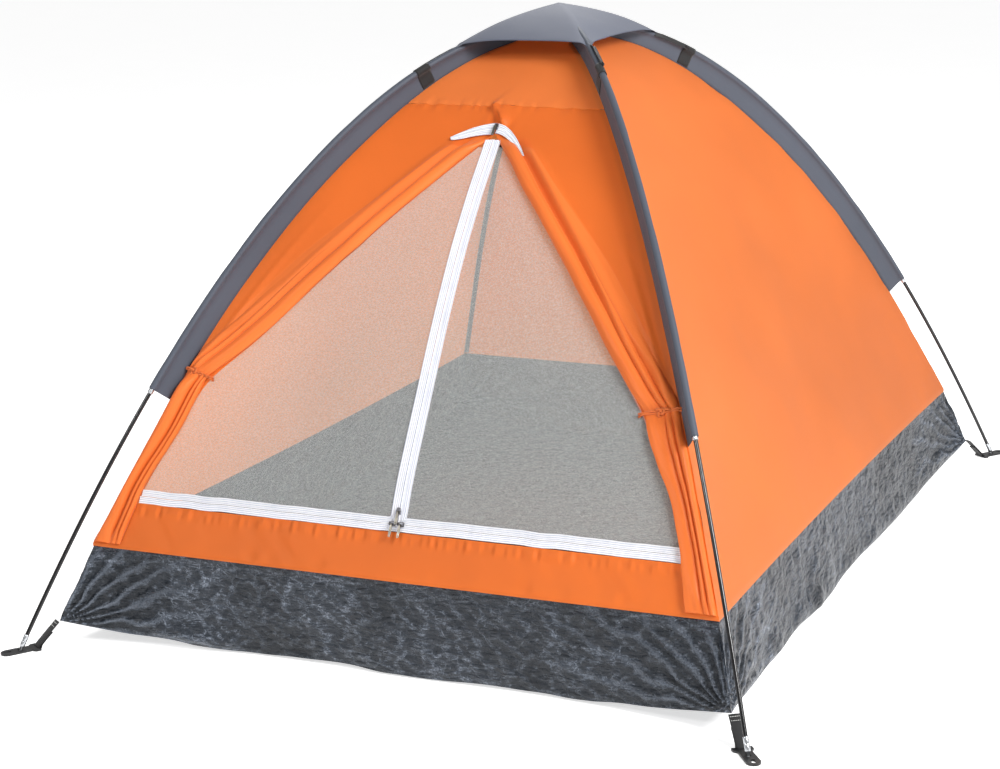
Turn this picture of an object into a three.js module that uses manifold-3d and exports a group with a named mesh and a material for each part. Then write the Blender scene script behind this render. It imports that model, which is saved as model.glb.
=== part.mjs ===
// Two-person dome tent standing on two crossed poles. Millimetres, +Z up.
// Origin on the ground under the middle of the tent, +X right along the front, +Y to the back.
import * as THREE from 'three';
import Module from 'manifold-3d';
import { mergeVertices } from 'three/addons/utils/BufferGeometryUtils.js';

// ---------------------------------------------------------------- driving dimensions
const footX = 720;                 // pole feet, half spacing along the front
const footY = 995;                 // pole feet, half spacing front to back
const apexA = 1117;                // centre height of the lower pole at the crossing
const apexB = 1128.5;              // centre height of the upper pole at the crossing
const footAngle = 60.6;            // slope of a pole where it leaves the ground, degrees
const footPull = 484;              // length of the curve's handle at the foot
const apexPull = 547;              // length of the curve's handle at the crossing
const stepsPerHalf = 18;           // straight pieces in each half of a pole

const poleOuter = 4;
const poleInner = 2.5;
const socketOuter = 5.3;
const socketInner = 4.2;
const socketHalf = 30;
const sectionsPerPole = 6;
const poleEnd = 12.4;              // clear distance from the pin's tip to the tube
const cordRadius = 1.5;

const sleeveStart = 556;           // distance along the pole from the foot
const sleeveEndRadius = 106;       // plan distance of the sleeve's end from the crossing
const sleeveOuter = 8;
const sleeveInner = 6.4;
const webHalf = 1;
const seamGap = 3;
const bandStart = 1380;
const bandEnd = 1410;

const cloth = 2;                   // canopy thickness
const tubRadius = 1069;            // bathtub top corner, plan distance from the middle
const tubTop = 187;
const headerSeam = 974;
const canopyEnd = 98;               // distance along the pole from the crossing to the canopy's top corner
const floorX = 630;
const floorY = 857;
const cornerOutX = 40;             // how far the floor's corners reach past its sides
const cornerOutY = 73;
const cornerLift = 45;
const floorThickness = 2.5;

const doorApex = 925;
const doorSill = 262.5;
const doorHalf = 547;              // half width of the door at the sill
const doorCurve = 1.35;
const tapeHalf = 16.5;             // one half of the centre zip, tape and coil
const tapeThickness = 1.2;
const sillTapeTop = 274.5;
const doorTapeTop = 287;
const tieHeight = 490;

const capRadius = 240;             // rain cap corner, plan distance from the crossing
const capClear = 10.5;             // cap above the upper pole's centre line
const capPeak = 15;                // how much the cap's middle is drawn up above that

// ---------------------------------------------------------------- materials
function material(colour, roughness, metalness = 0) {
  return () => new THREE.MeshStandardMaterial({ color: colour, roughness, metalness });
}

const orange = material('#e87635', 0.62);
const grey = material('#6d7682', 0.66);
const tarp = material('#3d434c', 0.35);
const netting = material('#d6dad4', 0.8);
const zipWhite = material('#f1f2f4', 0.55);
const fibreglass = material('#17181a', 0.22);
const steel = material('#c9ccd0', 0.28, 0.9);
const webbing = material('#161617', 0.75);
const elastic = material('#e9e6de', 0.7);
const tabPlastic = material('#121213', 0.5);

const tent = new THREE.Group();
tent.name = 'tent_on_poles';

function add(name, geometry, makeMaterial) {
  const mesh = new THREE.Mesh(geometry, makeMaterial());
  mesh.name = name;
  tent.add(mesh);
}

// ---------------------------------------------------------------- closed-body helpers
function vec(x, y, z) {
  return new THREE.Vector3(x, y, z);
}

// A closed body from corner points and triangles, turned to face out.
function closedBody(points, triangles) {
  let volume = 0;
  for (const [a, b, c] of triangles) {
    volume += points[a].dot(points[b].clone().cross(points[c])) / 6;
  }
  const index = [];
  for (const [a, b, c] of triangles) {
    index.push(...(volume < 0 ? [a, c, b] : [a, b, c]));
  }
  const geometry = new THREE.BufferGeometry();
  geometry.setAttribute('position', new THREE.Float32BufferAttribute(points.flatMap((p) => p.toArray()), 3));
  geometry.setIndex(index);
  geometry.computeVertexNormals();
  return geometry;
}

function quad(triangles, a, b, c, d) {
  triangles.push([a, b, c], [a, c, d]);
}

const wasm = await Module();
wasm.setup();

function toManifold(geometry) {
  const bare = new THREE.BufferGeometry();
  bare.setAttribute('position', geometry.getAttribute('position'));
  bare.setIndex(geometry.getIndex());
  const merged = mergeVertices(bare, 1e-4);
  return new wasm.Manifold(new wasm.Mesh({
    numProp: 3,
    vertProperties: new Float32Array(merged.getAttribute('position').array),
    triVerts: new Uint32Array(merged.getIndex().array),
  }));
}

function fromManifold(solid) {
  const mesh = solid.getMesh();
  const geometry = new THREE.BufferGeometry();
  geometry.setAttribute('position', new THREE.BufferAttribute(mesh.vertProperties, 3));
  geometry.setIndex(new THREE.BufferAttribute(mesh.triVerts, 1));
  geometry.computeVertexNormals();
  return geometry;
}

// Sheet of even thickness about a grid of points; a ringed grid closes on itself along each row.
function sheetBody(grid, thickness, ringed = false) {
  const rows = grid.length;
  const columns = grid[0].length;
  const wrap = (j) => (ringed ? (j + columns) % columns : Math.min(Math.max(j, 0), columns - 1));
  const points = [];
  for (const side of [0.5, -0.5]) {
    for (let i = 0; i < rows; i += 1) {
      for (let j = 0; j < columns; j += 1) {
        const down = grid[Math.min(i + 1, rows - 1)][j].clone().sub(grid[Math.max(i - 1, 0)][j]);
        const along = grid[i][wrap(j + 1)].clone().sub(grid[i][wrap(j - 1)]);
        const normal = down.cross(along).normalize();
        points.push(grid[i][j].clone().addScaledVector(normal, side * thickness));
      }
    }
  }
  const half = rows * columns;
  const triangles = [];
  const lastColumn = ringed ? columns : columns - 1;
  for (let i = 0; i < rows - 1; i += 1) {
    for (let j = 0; j < lastColumn; j += 1) {
      const a = i * columns + j;
      const b = i * columns + wrap(j + 1);
      const c = (i + 1) * columns + wrap(j + 1);
      const d = (i + 1) * columns + j;
      // Each quarter of a grid is split along its own diagonal, so folds run to the corners.
      const mirrored = !ringed && (2 * i + 1 < rows) !== (2 * j + 1 < columns);
      if (mirrored) {
        quad(triangles, b, c, d, a);
        quad(triangles, half + d, half + c, half + b, half + a);
      } else {
        quad(triangles, a, b, c, d);
        quad(triangles, half + c, half + b, half + a, half + d);
      }
    }
  }
  const rim = [];
  for (let j = 0; j < lastColumn; j += 1) {
    rim.push([wrap(j + 1), j]);
    rim.push([(rows - 1) * columns + j, (rows - 1) * columns + wrap(j + 1)]);
  }
  if (!ringed) {
    for (let i = 0; i < rows - 1; i += 1) {
      rim.push([i * columns, (i + 1) * columns]);
      rim.push([(i + 2) * columns - 1, (i + 1) * columns - 1]);
    }
  }
  for (const [a, b] of rim) {
    quad(triangles, a, b, half + b, half + a);
  }
  return closedBody(points, triangles);
}

// A path through points that stay in one upright plane; side is the plane's normal.
function makePath(points, side) {
  const reach = [0];
  for (let i = 1; i < points.length; i += 1) {
    reach.push(reach[i - 1] + points[i].distanceTo(points[i - 1]));
  }
  const heading = (i) => points[i + 1].clone().sub(points[i]).normalize();
  function at(s) {
    let i = 0;
    while (i < points.length - 2 && s > reach[i + 1] + 1e-6) {
      i += 1;
    }
    const tangent = heading(i);
    if (Math.abs(s - reach[i + 1]) < 1e-6 && i < points.length - 2) {
      tangent.add(heading(i + 1)).normalize();
    } else if (Math.abs(s - reach[i]) < 1e-6 && i > 0) {
      tangent.add(heading(i - 1)).normalize();
    }
    const centre = points[i].clone().lerp(points[i + 1], (s - reach[i]) / (reach[i + 1] - reach[i]));
    return { centre, normal: side.clone().cross(tangent).normalize(), side };
  }
  function stations(from, to) {
    return [from, ...reach.filter((s) => s > from + 1e-3 && s < to - 1e-3), to];
  }
  return { at, stations, length: reach[reach.length - 1] };
}

// Round body turned about a path from a closed outline of [distance, radius] corners.
function turnedBody(path, outline, sides) {
  const rings = [];
  for (let k = 0; k < outline.length; k += 1) {
    const [s0, r0] = outline[k];
    const [s1, r1] = outline[(k + 1) % outline.length];
    const between = path.stations(Math.min(s0, s1), Math.max(s0, s1));
    if (s1 < s0) {
      between.reverse();
    }
    rings.push([s0, r0]);
    if (r0 > 0 || r1 > 0) {
      for (const s of between.slice(1, -1)) {
        rings.push([s, r0 + ((r1 - r0) * (s - s0)) / (s1 - s0)]);
      }
    }
  }
  const points = [];
  const start = [];
  for (const [s, radius] of rings) {
    const { centre, normal, side } = path.at(s);
    start.push(points.length);
    const count = radius > 0 ? sides : 1;
    for (let k = 0; k < count; k += 1) {
      const turn = ((k + 0.5) / sides) * 2 * Math.PI;
      points.push(centre.clone()
        .addScaledVector(normal, radius * Math.cos(turn))
        .addScaledVector(side, radius * Math.sin(turn)));
    }
  }
  const triangles = [];
  for (let i = 0; i < rings.length; i += 1) {
    const next = (i + 1) % rings.length;
    for (let k = 0; k < sides; k += 1) {
      const m = (k + 1) % sides;
      if (rings[i][1] > 0 && rings[next][1] > 0) {
        quad(triangles, start[i] + k, start[i] + m, start[next] + m, start[next] + k);
      } else if (rings[i][1] > 0) {
        triangles.push([start[i] + k, start[i] + m, start[next]]);
      } else if (rings[next][1] > 0) {
        triangles.push([start[i], start[next] + m, start[next] + k]);
      }
    }
  }
  return closedBody(points, triangles);
}

// Sweep of a flat section along a path; section(s) gives the outline and an optional hole.
function sweptBody(path, stations, section) {
  const points = [];
  const triangles = [];
  const first = section(stations[0]);
  const loops = [first.outline.length, first.hole ? first.hole.length : 0];
  const ring = loops[0] + loops[1];
  for (const s of stations) {
    const { centre, normal, side } = path.at(s);
    const { outline, hole } = section(s);
    for (const [a, b] of [...outline, ...(hole ?? [])]) {
      points.push(centre.clone().addScaledVector(normal, a).addScaledVector(side, b));
    }
  }
  for (let i = 0; i < stations.length - 1; i += 1) {
    for (let loop = 0; loop < 2; loop += 1) {
      const offset = loop === 0 ? 0 : loops[0];
      for (let k = 0; k < loops[loop]; k += 1) {
        const a = i * ring + offset + k;
        const b = i * ring + offset + ((k + 1) % loops[loop]);
        if (loop === 0) {
          quad(triangles, a, b, b + ring, a + ring);
        } else {
          quad(triangles, b, a, a + ring, b + ring);
        }
      }
    }
  }
  const last = (stations.length - 1) * ring;
  const flat = (list) => list.map(([a, b]) => new THREE.Vector2(a, b));
  const holes = first.hole ? [flat(first.hole)] : [];
  for (const [a, b, c] of THREE.ShapeUtils.triangulateShape(flat(first.outline), holes)) {
    triangles.push([a, c, b]);
    triangles.push([last + a, last + b, last + c]);
  }
  return closedBody(points, triangles);
}

function circlePoints(radius, sides, from = 0, to = 2 * Math.PI, closed = true) {
  const list = [];
  const steps = closed ? sides : sides - 1;
  for (let k = 0; k < sides; k += 1) {
    const turn = from + ((to - from) * k) / steps;
    list.push([radius * Math.cos(turn), radius * Math.sin(turn)]);
  }
  return list;
}

// ---------------------------------------------------------------- poles
const footRadius = Math.hypot(footX, footY);
const planX = footX / footRadius;
const planY = footY / footRadius;
const footRise = 1.2;

// Half of a pole's centre line in its own upright plane: [plan distance, height].
function archHalf(apex) {
  const slope = THREE.MathUtils.degToRad(footAngle);
  const curve = new THREE.CubicBezierCurve(
    new THREE.Vector2(footRadius, footRise),
    new THREE.Vector2(footRadius - footPull * Math.cos(slope), footRise + footPull * Math.sin(slope)),
    new THREE.Vector2(apexPull, apex),
    new THREE.Vector2(0, apex),
  );
  curve.arcLengthDivisions = 2000;
  return curve.getSpacedPoints(stepsPerHalf);
}

function polePath(apex, signX) {
  const half = archHalf(apex);
  const full = [...half, ...half.slice(0, -1).reverse().map((p) => new THREE.Vector2(-p.x, p.y))];
  const points = full.map((p) => vec(signX * planX * p.x, -planY * p.x, p.y));
  return makePath(points, vec(-planY, -signX * planX, 0).multiplyScalar(signX).normalize());
}

const poles = {
  a: { apex: apexA, signX: -1 },
  b: { apex: apexB, signX: 1 },
};

for (const [letter, pole] of Object.entries(poles)) {
  const path = polePath(pole.apex, pole.signX);
  pole.path = path;
  const sectionLength = path.length / sectionsPerPole;
  for (let k = 0; k < sectionsPerPole; k += 1) {
    const from = k === 0 ? poleEnd : k * sectionLength + 0.6;
    const last = k === sectionsPerPole - 1;
    const to = last ? path.length - poleEnd : (k + 1) * sectionLength;
    const tube = [[from, poleInner], [from, poleOuter], [to, poleOuter], [to, poleInner]];
    const socketed = [
      [from, poleInner], [from, poleOuter], [to - socketHalf, poleOuter], [to - socketHalf, socketOuter],
      [to + socketHalf, socketOuter], [to + socketHalf, socketInner], [to, socketInner], [to, poleInner],
    ];
    add(`pole_${letter}_section_${k + 1}`, turnedBody(path, last ? tube : socketed, 8), fibreglass);
  }
  const cord = [[poleEnd + 1, 0], [poleEnd + 1, cordRadius],
    [path.length - poleEnd - 1, cordRadius], [path.length - poleEnd - 1, 0]];
  add(`pole_${letter}_shock_cord`, turnedBody(path, cord, 6), elastic);
  const cap = [[0.6, 0], [0.6, 2.4], [8.6, 2.4], [8.6, 5], [34, 5], [34, socketInner],
    [12, socketInner], [12, 0]];
  add(`pole_${letter}_end_cap_front`, turnedBody(path, cap, 10), steel);
  const mirrored = cap.map(([s, radius]) => [path.length - s, radius]);
  add(`pole_${letter}_end_cap_back`, turnedBody(path, mirrored, 10), steel);
}

// ---------------------------------------------------------------- canopy seam under each pole
// The four corner seams share one line in their own upright planes: [plan distance, height].
const seam = [[tubRadius, tubTop]];
const halfA = makePath(archHalf(apexA).map((p) => vec(p.x, 0, p.y)), vec(0, -1, 0));
for (const s of halfA.stations(sleeveStart, halfA.length - canopyEnd)) {
  const { centre, normal } = halfA.at(s);
  const toApex = THREE.MathUtils.smoothstep(s, 1150, halfA.length);
  const point = centre.clone().addScaledVector(normal, 45 - 20 * toApex);
  seam.push([point.x, point.z]);
}
const [ventRadius, ventZ] = seam[seam.length - 1];

function seamRadius(z) {
  let i = 0;
  while (i < seam.length - 2 && z > seam[i + 1][1]) {
    i += 1;
  }
  const [r0, z0] = seam[i];
  const [r1, z1] = seam[i + 1];
  return r0 + ((r1 - r0) * (z - z0)) / (z1 - z0);
}

function bow(z, share, deepest, from) {
  const rise = THREE.MathUtils.smoothstep(z, from, from + 250);
  const fade = 1 - THREE.MathUtils.smoothstep(z, 850, ventZ);
  return deepest * rise * fade * (1 - share * share);
}

// Point on the front wall, out along its own normal by a distance.
function frontPoint(x, z, out = 0) {
  const radius = seamRadius(z);
  const y = -planY * radius + bow(z, x / (planX * radius), 12, 300);
  const slope = (planY * (seamRadius(z + 4) - seamRadius(z - 4))) / 8;
  const normal = vec(0, -1, -slope).normalize();
  return vec(x, y, z).addScaledVector(normal, out);
}

function sidePoint(sign, y, z) {
  const radius = seamRadius(z);
  return vec(sign * (planX * radius - bow(z, y / (planY * radius), 25, 200)), y, z);
}

function backPoint(x, z) {
  const radius = seamRadius(z);
  return vec(x, planY * radius - bow(z, x / (planX * radius), 25, 200), z);
}

function levels(from, to) {
  return [from, ...seam.map((p) => p[1]).filter((z) => z > from + 12 && z < to - 12), to];
}

function spread(from, to, steps) {
  return Array.from({ length: steps + 1 }, (_, k) => from + ((to - from) * k) / steps);
}

// ---------------------------------------------------------------- sleeves, bands
// Distance from a pole's centre line down to the seam, along the pole's own normal.
function seamReach(path, s) {
  const { centre, normal } = path.at(s);
  const base = [Math.hypot(centre.x, centre.y), centre.z];
  const inward = normal.z < 0 ? 1 : -1;
  const plan = (-inward * (normal.x * centre.x + normal.y * centre.y)) / base[0];
  const step = [-plan, inward * normal.z];
  for (let distance = 10; distance < 120; distance += 0.25) {
    const r = base[0] + step[0] * distance;
    const z = base[1] + step[1] * distance;
    if (r < seamRadius(z)) {
      return distance;
    }
  }
  return 60;
}

const corners = [
  ['front_left', 'a', 1, -1, -1],
  ['front_right', 'b', 1, 1, -1],
  ['back_right', 'a', -1, 1, 1],
  ['back_left', 'b', -1, -1, 1],
];

function alongPole(path, end, from, to) {
  return end > 0 ? path.stations(from, to) : path.stations(path.length - to, path.length - from);
}

const root = Math.asin(webHalf / sleeveOuter);
for (const [corner, letter, end] of corners) {
  const { path } = poles[letter];
  const inward = path.at(path.length / 2).normal.z < 0 ? 1 : -1;
  const sleeveEnd = path.length / 2 - sleeveEndRadius;
  add(`pole_sleeve_${corner}`, sweptBody(path, alongPole(path, end, sleeveStart, sleeveEnd), (s) => {
    const tip = (seamReach(path, s) - seamGap) * inward;
    const around = circlePoints(sleeveOuter, 9, root, 2 * Math.PI - root, false);
    return {
      outline: [[tip, -webHalf * inward], [tip, webHalf * inward],
        ...around.map(([a, b]) => [a * inward, b * inward])],
      hole: circlePoints(sleeveInner, 8),
    };
  }), grey);
  const gap = 0.5;
  const bandThickness = 1.3;
  add(`sleeve_band_${corner}`, sweptBody(path, alongPole(path, end, bandStart, bandEnd), (s) => {
    const tip = seamReach(path, s) - seamGap - 4;
    const inner = sleeveOuter + gap;
    const outer = inner + bandThickness;
    const innerRoot = Math.asin((webHalf + gap) / inner);
    const outerRoot = Math.asin((webHalf + gap + bandThickness) / outer);
    const outside = circlePoints(outer, 9, outerRoot, 2 * Math.PI - outerRoot, false);
    const inside = circlePoints(inner, 9, innerRoot, 2 * Math.PI - innerRoot, false).reverse();
    const outline = [
      [tip, webHalf + gap], [tip, webHalf + gap + bandThickness], ...outside,
      [tip, -webHalf - gap - bandThickness], [tip, -webHalf - gap], ...inside,
    ];
    return { outline: outline.map(([a, b]) => [a * inward, b * inward]) };
  }), webbing);
}

// ---------------------------------------------------------------- canopy panels
const wallFoot = tubTop + 1.4;
for (const [name, sign] of [['left', -1], ['right', 1]]) {
  const grid = levels(wallFoot, ventZ - 1).map((z) => {
    const edge = planY * seamRadius(z) - seamGap;
    return spread(-edge, edge, 6).map((y) => sidePoint(sign, y, z));
  });
  add(`canopy_${name}_wall`, sheetBody(grid, cloth), orange);
}
const backGrid = levels(wallFoot, ventZ - 1).map((z) => {
  const edge = planX * seamRadius(z) - seamGap;
  return spread(-edge, edge, 6).map((x) => backPoint(x, z));
});
add('canopy_back_wall', sheetBody(backGrid, cloth), orange);

const headerGrid = levels(headerSeam + 1.2, ventZ - 1).map((z) => {
  const edge = planX * seamRadius(z) - seamGap;
  return spread(-edge, edge, 4).map((x) => frontPoint(x, z));
});
add('canopy_front_header', sheetBody(headerGrid, cloth), orange);

const ventX = planX * ventRadius - seamGap;
const ventY = planY * ventRadius - seamGap;
const ventGrid = spread(-1, 1, 4).map((v) => spread(-1, 1, 4).map((u) => {
  const rise = 3 * (1 - u * u) * (1 - v * v);
  return vec(u * ventX, v * ventY, ventZ + rise);
}));
add('roof_vent_mesh', sheetBody(ventGrid, 1.2), netting);

// Half width of the door opening, straight between its own levels.
const wallLevels = levels(wallFoot, headerSeam).reverse();
const doorLevels = spread(doorSill, doorApex, wallLevels.length + 1);
function doorShape(z) {
  const share = (z - doorSill) / (doorApex - doorSill);
  return doorHalf * (1 - share ** doorCurve);
}
function doorEdge(z) {
  let i = 0;
  while (i < doorLevels.length - 2 && z > doorLevels[i + 1]) {
    i += 1;
  }
  const share = (z - doorLevels[i]) / (doorLevels[i + 1] - doorLevels[i]);
  return doorShape(doorLevels[i]) + share * (doorShape(doorLevels[i + 1]) - doorShape(doorLevels[i]));
}

const openingSide = [...doorLevels].reverse().map((z) => [doorEdge(z), z]);
const outlineSide = [[0, headerSeam], [0.5 * (planX * seamRadius(headerSeam) - seamGap), headerSeam],
  ...wallLevels.map((z) => [planX * seamRadius(z) - seamGap, z])];
function wholeLoop(side) {
  const [x, z] = side[side.length - 1];
  const foot = spread(-x, x, 6).slice(1, -1).map((across) => [across, z]);
  return [...side.map(([a, b]) => [-a, b]), ...foot, ...side.slice(1).reverse()];
}
const openingLoop = wholeLoop(openingSide);
const outlineLoop = wholeLoop(outlineSide);
const frontGrid = spread(0, 1, 3).map((share) => openingLoop.map(([x, z], k) => {
  const [outX, outZ] = outlineLoop[k];
  return frontPoint(x + (outX - x) * share, z + (outZ - z) * share);
}));
add('canopy_front_wall', sheetBody(frontGrid, cloth, true), orange);

// ---------------------------------------------------------------- mesh doors and zips
const doorGap = 1.5;
const meshTop = 900;
for (const [name, sign] of [['left', -1], ['right', 1]]) {
  const meshLevels = [doorTapeTop + 0.7, ...doorLevels.filter((z) => z > doorTapeTop + 12 && z < meshTop), meshTop];
  const grid = meshLevels.map((z) => spread(tapeHalf + 0.7, doorEdge(z) - doorGap, 5)
    .map((x) => frontPoint(sign * x, z)));
  add(`mesh_door_${name}`, sheetBody(grid, tapeThickness), netting);

  const upright = spread(908, doorTapeTop + 30, 8).map((z) => [[0.6, z], [tapeHalf, z]]);
  const corner = [[[0.6, sillTapeTop + 1], [tapeHalf, doorTapeTop]]];
  const foot = spread(40, doorEdge(doorTapeTop) - doorGap - 1, 4)
    .map((x) => [[x, sillTapeTop + 1], [x, doorTapeTop]]);
  const tape = [...upright, ...corner, ...foot]
    .map((row) => row.map(([x, z]) => frontPoint(sign * x, z)));
  add(`zip_tape_${name}`, sheetBody(tape, tapeThickness), zipWhite);
}
const sillEdge = doorEdge(sillTapeTop) - doorGap - 1;
const sillGrid = [doorSill + 1, sillTapeTop].map((z) => spread(-sillEdge, sillEdge, 8)
  .map((x) => frontPoint(x, z)));
add('zip_tape_sill', sheetBody(sillGrid, tapeThickness), zipWhite);

// The outer door's zip comes over the door's apex in a shallow arch.
const archGrid = [0, 18].map((width) => spread(-80, 80, 8).map((x) => {
  const drop = 45 * (x / 80) ** 2;
  return frontPoint(x, doorApex + 20 - drop - width, 2.8);
}));
add('outer_zip_tape', sheetBody(archGrid, tapeThickness), zipWhite);

// A body in the wall's own axes: x across, y into the tent, z up the wall.
function onFront(geometry, x, z, out) {
  const centre = frontPoint(x, z, out);
  const up = frontPoint(x, z + 4).sub(frontPoint(x, z - 4)).normalize();
  const right = vec(1, 0, 0);
  const frame = new THREE.Matrix4().makeBasis(right, up.clone().cross(right), up);
  geometry.applyMatrix4(frame);
  geometry.translate(centre.x, centre.y, centre.z);
  return geometry;
}

// Round bar along x.
function bar(radius, length) {
  const geometry = new THREE.CylinderGeometry(radius, radius, length, 12);
  geometry.rotateZ(Math.PI / 2);
  return toManifold(geometry);
}

function block(width, depth, height, x, y, z) {
  const geometry = new THREE.BoxGeometry(width, depth, height);
  geometry.translate(x, y, z);
  return toManifold(geometry);
}

// Pull tab: a knuckle bored for the slider's pin, its neck, and a plate with a finger hole.
function pullTab() {
  const shape = new THREE.Shape();
  shape.moveTo(-1.8, -1);
  shape.lineTo(-1.8, -4.2);
  shape.lineTo(-2.5, -6);
  shape.absarc(0, -21.5, 2.5, Math.PI, 2 * Math.PI, false);
  shape.lineTo(2.5, -6);
  shape.lineTo(1.8, -4.2);
  shape.lineTo(1.8, -1);
  shape.closePath();
  const hole = new THREE.Path();
  hole.absarc(0, -21.5, 1.1, 0, 2 * Math.PI, true);
  shape.holes.push(hole);
  const plate = new THREE.ExtrudeGeometry(shape, { depth: 1.2, bevelEnabled: false, curveSegments: 4 });
  plate.translate(0, 0, -0.6);
  plate.rotateX(Math.PI / 2);
  return toManifold(plate).add(bar(1.6, 3.6)).subtract(bar(0.9, 5));
}

// Slider body with two ears and the pin that the pull turns on; the pin is pinLift in front.
const pinLift = 4.1;
const pinDrop = 2;
function sliderBody(wide, high) {
  const ears = [-2.7, 2.7].map((x) => block(1.2, pinLift - 1, 2.4, x, -(pinLift + 1) / 2, -pinDrop));
  const pin = bar(0.7, 6).translate([0, -pinLift, -pinDrop]);
  return block(wide, 4, high, 0, 0, 0).add(ears[0]).add(ears[1]).add(pin);
}

const sliders = [
  ['centre_slider', 'centre_pull', 0, 296, 9, 13, 4.4],
  ['sill_slider_left', 'sill_pull_left', -8.5, 275, 13, 9, 3.4],
  ['sill_slider_right', 'sill_pull_right', 8.5, 275, 13, 9, 3.4],
  ['outer_slider', 'outer_pull', 0, 935, 9, 13, 6],
];
for (const [slider, pull, x, z, wide, high, out] of sliders) {
  add(slider, onFront(fromManifold(sliderBody(wide, high)), x, z, out), steel);
  const tab = pullTab().translate([0, -pinLift, -pinDrop]);
  add(pull, onFront(fromManifold(tab), x, z, out), steel);
}

// ---------------------------------------------------------------- outer door, tied back
for (const [name, sign] of [['left', -1], ['right', 1]]) {
  const bundle = levels(196, 905).map((z) => {
    const inner = doorEdge(Math.max(z, doorSill)) + 4 + 0.25 * Math.max(doorSill - z, 0);
    const waist = Math.exp(-(((z - tieHeight) / 80) ** 2));
    const width = 62 + 20 * Math.sin((Math.PI * (z - 196)) / 709) - 34 * waist;
    const outer = Math.min(inner + width, planX * seamRadius(z) - 7);
    return spread(inner, outer, 4).map((x, k) => frontPoint(sign * x, z, k % 4 === 0 ? 7.5 : 9.5));
  });
  add(`outer_door_${name}`, sheetBody(bundle, 6), orange);

  const inner = doorEdge(tieHeight) - 2;
  const outer = planX * seamRadius(tieHeight) - 8;
  const cord = makePath(spread(inner, outer, 4).map((x) => frontPoint(sign * x, tieHeight, 17.5)), vec(0, 0, 1));
  const toggle = cord.length * 0.55;
  const outline = [[0, 0], [0, 1.4], [toggle - 9, 1.4], [toggle - 7, 4], [toggle + 7, 4],
    [toggle + 9, 1.4], [cord.length, 1.4], [cord.length, 0]];
  add(`door_tie_${name}`, turnedBody(cord, outline, 8), orange);
}

// ---------------------------------------------------------------- groundsheet
function floorPoint(u, v) {
  const x = u * (floorX + cornerOutX * v ** 4);
  const y = v * (floorY + cornerOutY * u ** 4);
  return vec(x, y, floorThickness / 2 + cornerLift * u ** 4 * v ** 4);
}
const tubCorner = vec(planX * tubRadius, planY * tubRadius, tubTop);
const floorShares = [-1, -0.9, -0.6, 0, 0.6, 0.9, 1];
const tubShares = [-1, -0.96, ...floorShares.slice(1, -1), 0.96, 1];
const sheetGrid = tubShares.map((v, i) => tubShares.map((u, j) => {
  const onEdge = i === 0 || i === tubShares.length - 1 || j === 0 || j === tubShares.length - 1;
  if (onEdge) {
    return vec(u * tubCorner.x, v * tubCorner.y, tubCorner.z);
  }
  return floorPoint(floorShares[j - 1], floorShares[i - 1]);
}));
add('groundsheet', sheetBody(sheetGrid, floorThickness), tarp);

// ---------------------------------------------------------------- foot tabs and corner straps
const tabThickness = 4;
function footTab() {
  const shape = new THREE.Shape();
  shape.moveTo(-37, -18.5);
  shape.lineTo(-27, -18.5);
  shape.lineTo(-21, -12);
  shape.lineTo(23, -13);
  shape.absarc(23.5, 0, 13, -Math.PI / 2, Math.PI / 2, false);
  shape.lineTo(-21, 12);
  shape.lineTo(-27, 18.5);
  shape.lineTo(-37, 18.5);
  shape.closePath();
  const webbingSlot = new THREE.Path();
  webbingSlot.moveTo(-34.5, -11.5);
  webbingSlot.lineTo(-34.5, 11.5);
  webbingSlot.lineTo(-31, 11.5);
  webbingSlot.lineTo(-31, -11.5);
  webbingSlot.closePath();
  const pinHole = new THREE.Path();
  pinHole.absarc(-0.4, 0, 5, 0, 2 * Math.PI, true);
  const pegSlot = new THREE.Path();
  pegSlot.absarc(20.5, 0, 4.4, Math.PI / 2, 1.5 * Math.PI, false);
  pegSlot.absarc(27.5, 0, 4.4, -Math.PI / 2, Math.PI / 2, false);
  pegSlot.closePath();
  shape.holes.push(webbingSlot, pinHole, pegSlot);
  return new THREE.ExtrudeGeometry(shape, { depth: tabThickness, bevelEnabled: false, curveSegments: 6 });
}

for (const [corner, , , signX, signY] of corners) {
  const outward = Math.atan2(signY * planY, signX * planX);
  const tab = footTab();
  tab.rotateZ(outward);
  tab.translate(signX * footX, signY * footY, 0);
  add(`foot_tab_${corner}`, tab, tabPlastic);

  const profile = [[1195.4, 0.8], [1195.4, 4.4], [1154, 43]];
  const points = profile.map(([r, z]) => vec(signX * planX * r, signY * planY * r, z));
  const strap = makePath(points, vec(-signY * planY, signX * planX, 0));
  const section = { outline: [[-0.8, -10], [0.8, -10], [0.8, 10], [-0.8, 10]] };
  add(`corner_strap_${corner}`, sweptBody(strap, strap.stations(0, strap.length), () => section), webbing);
}

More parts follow.
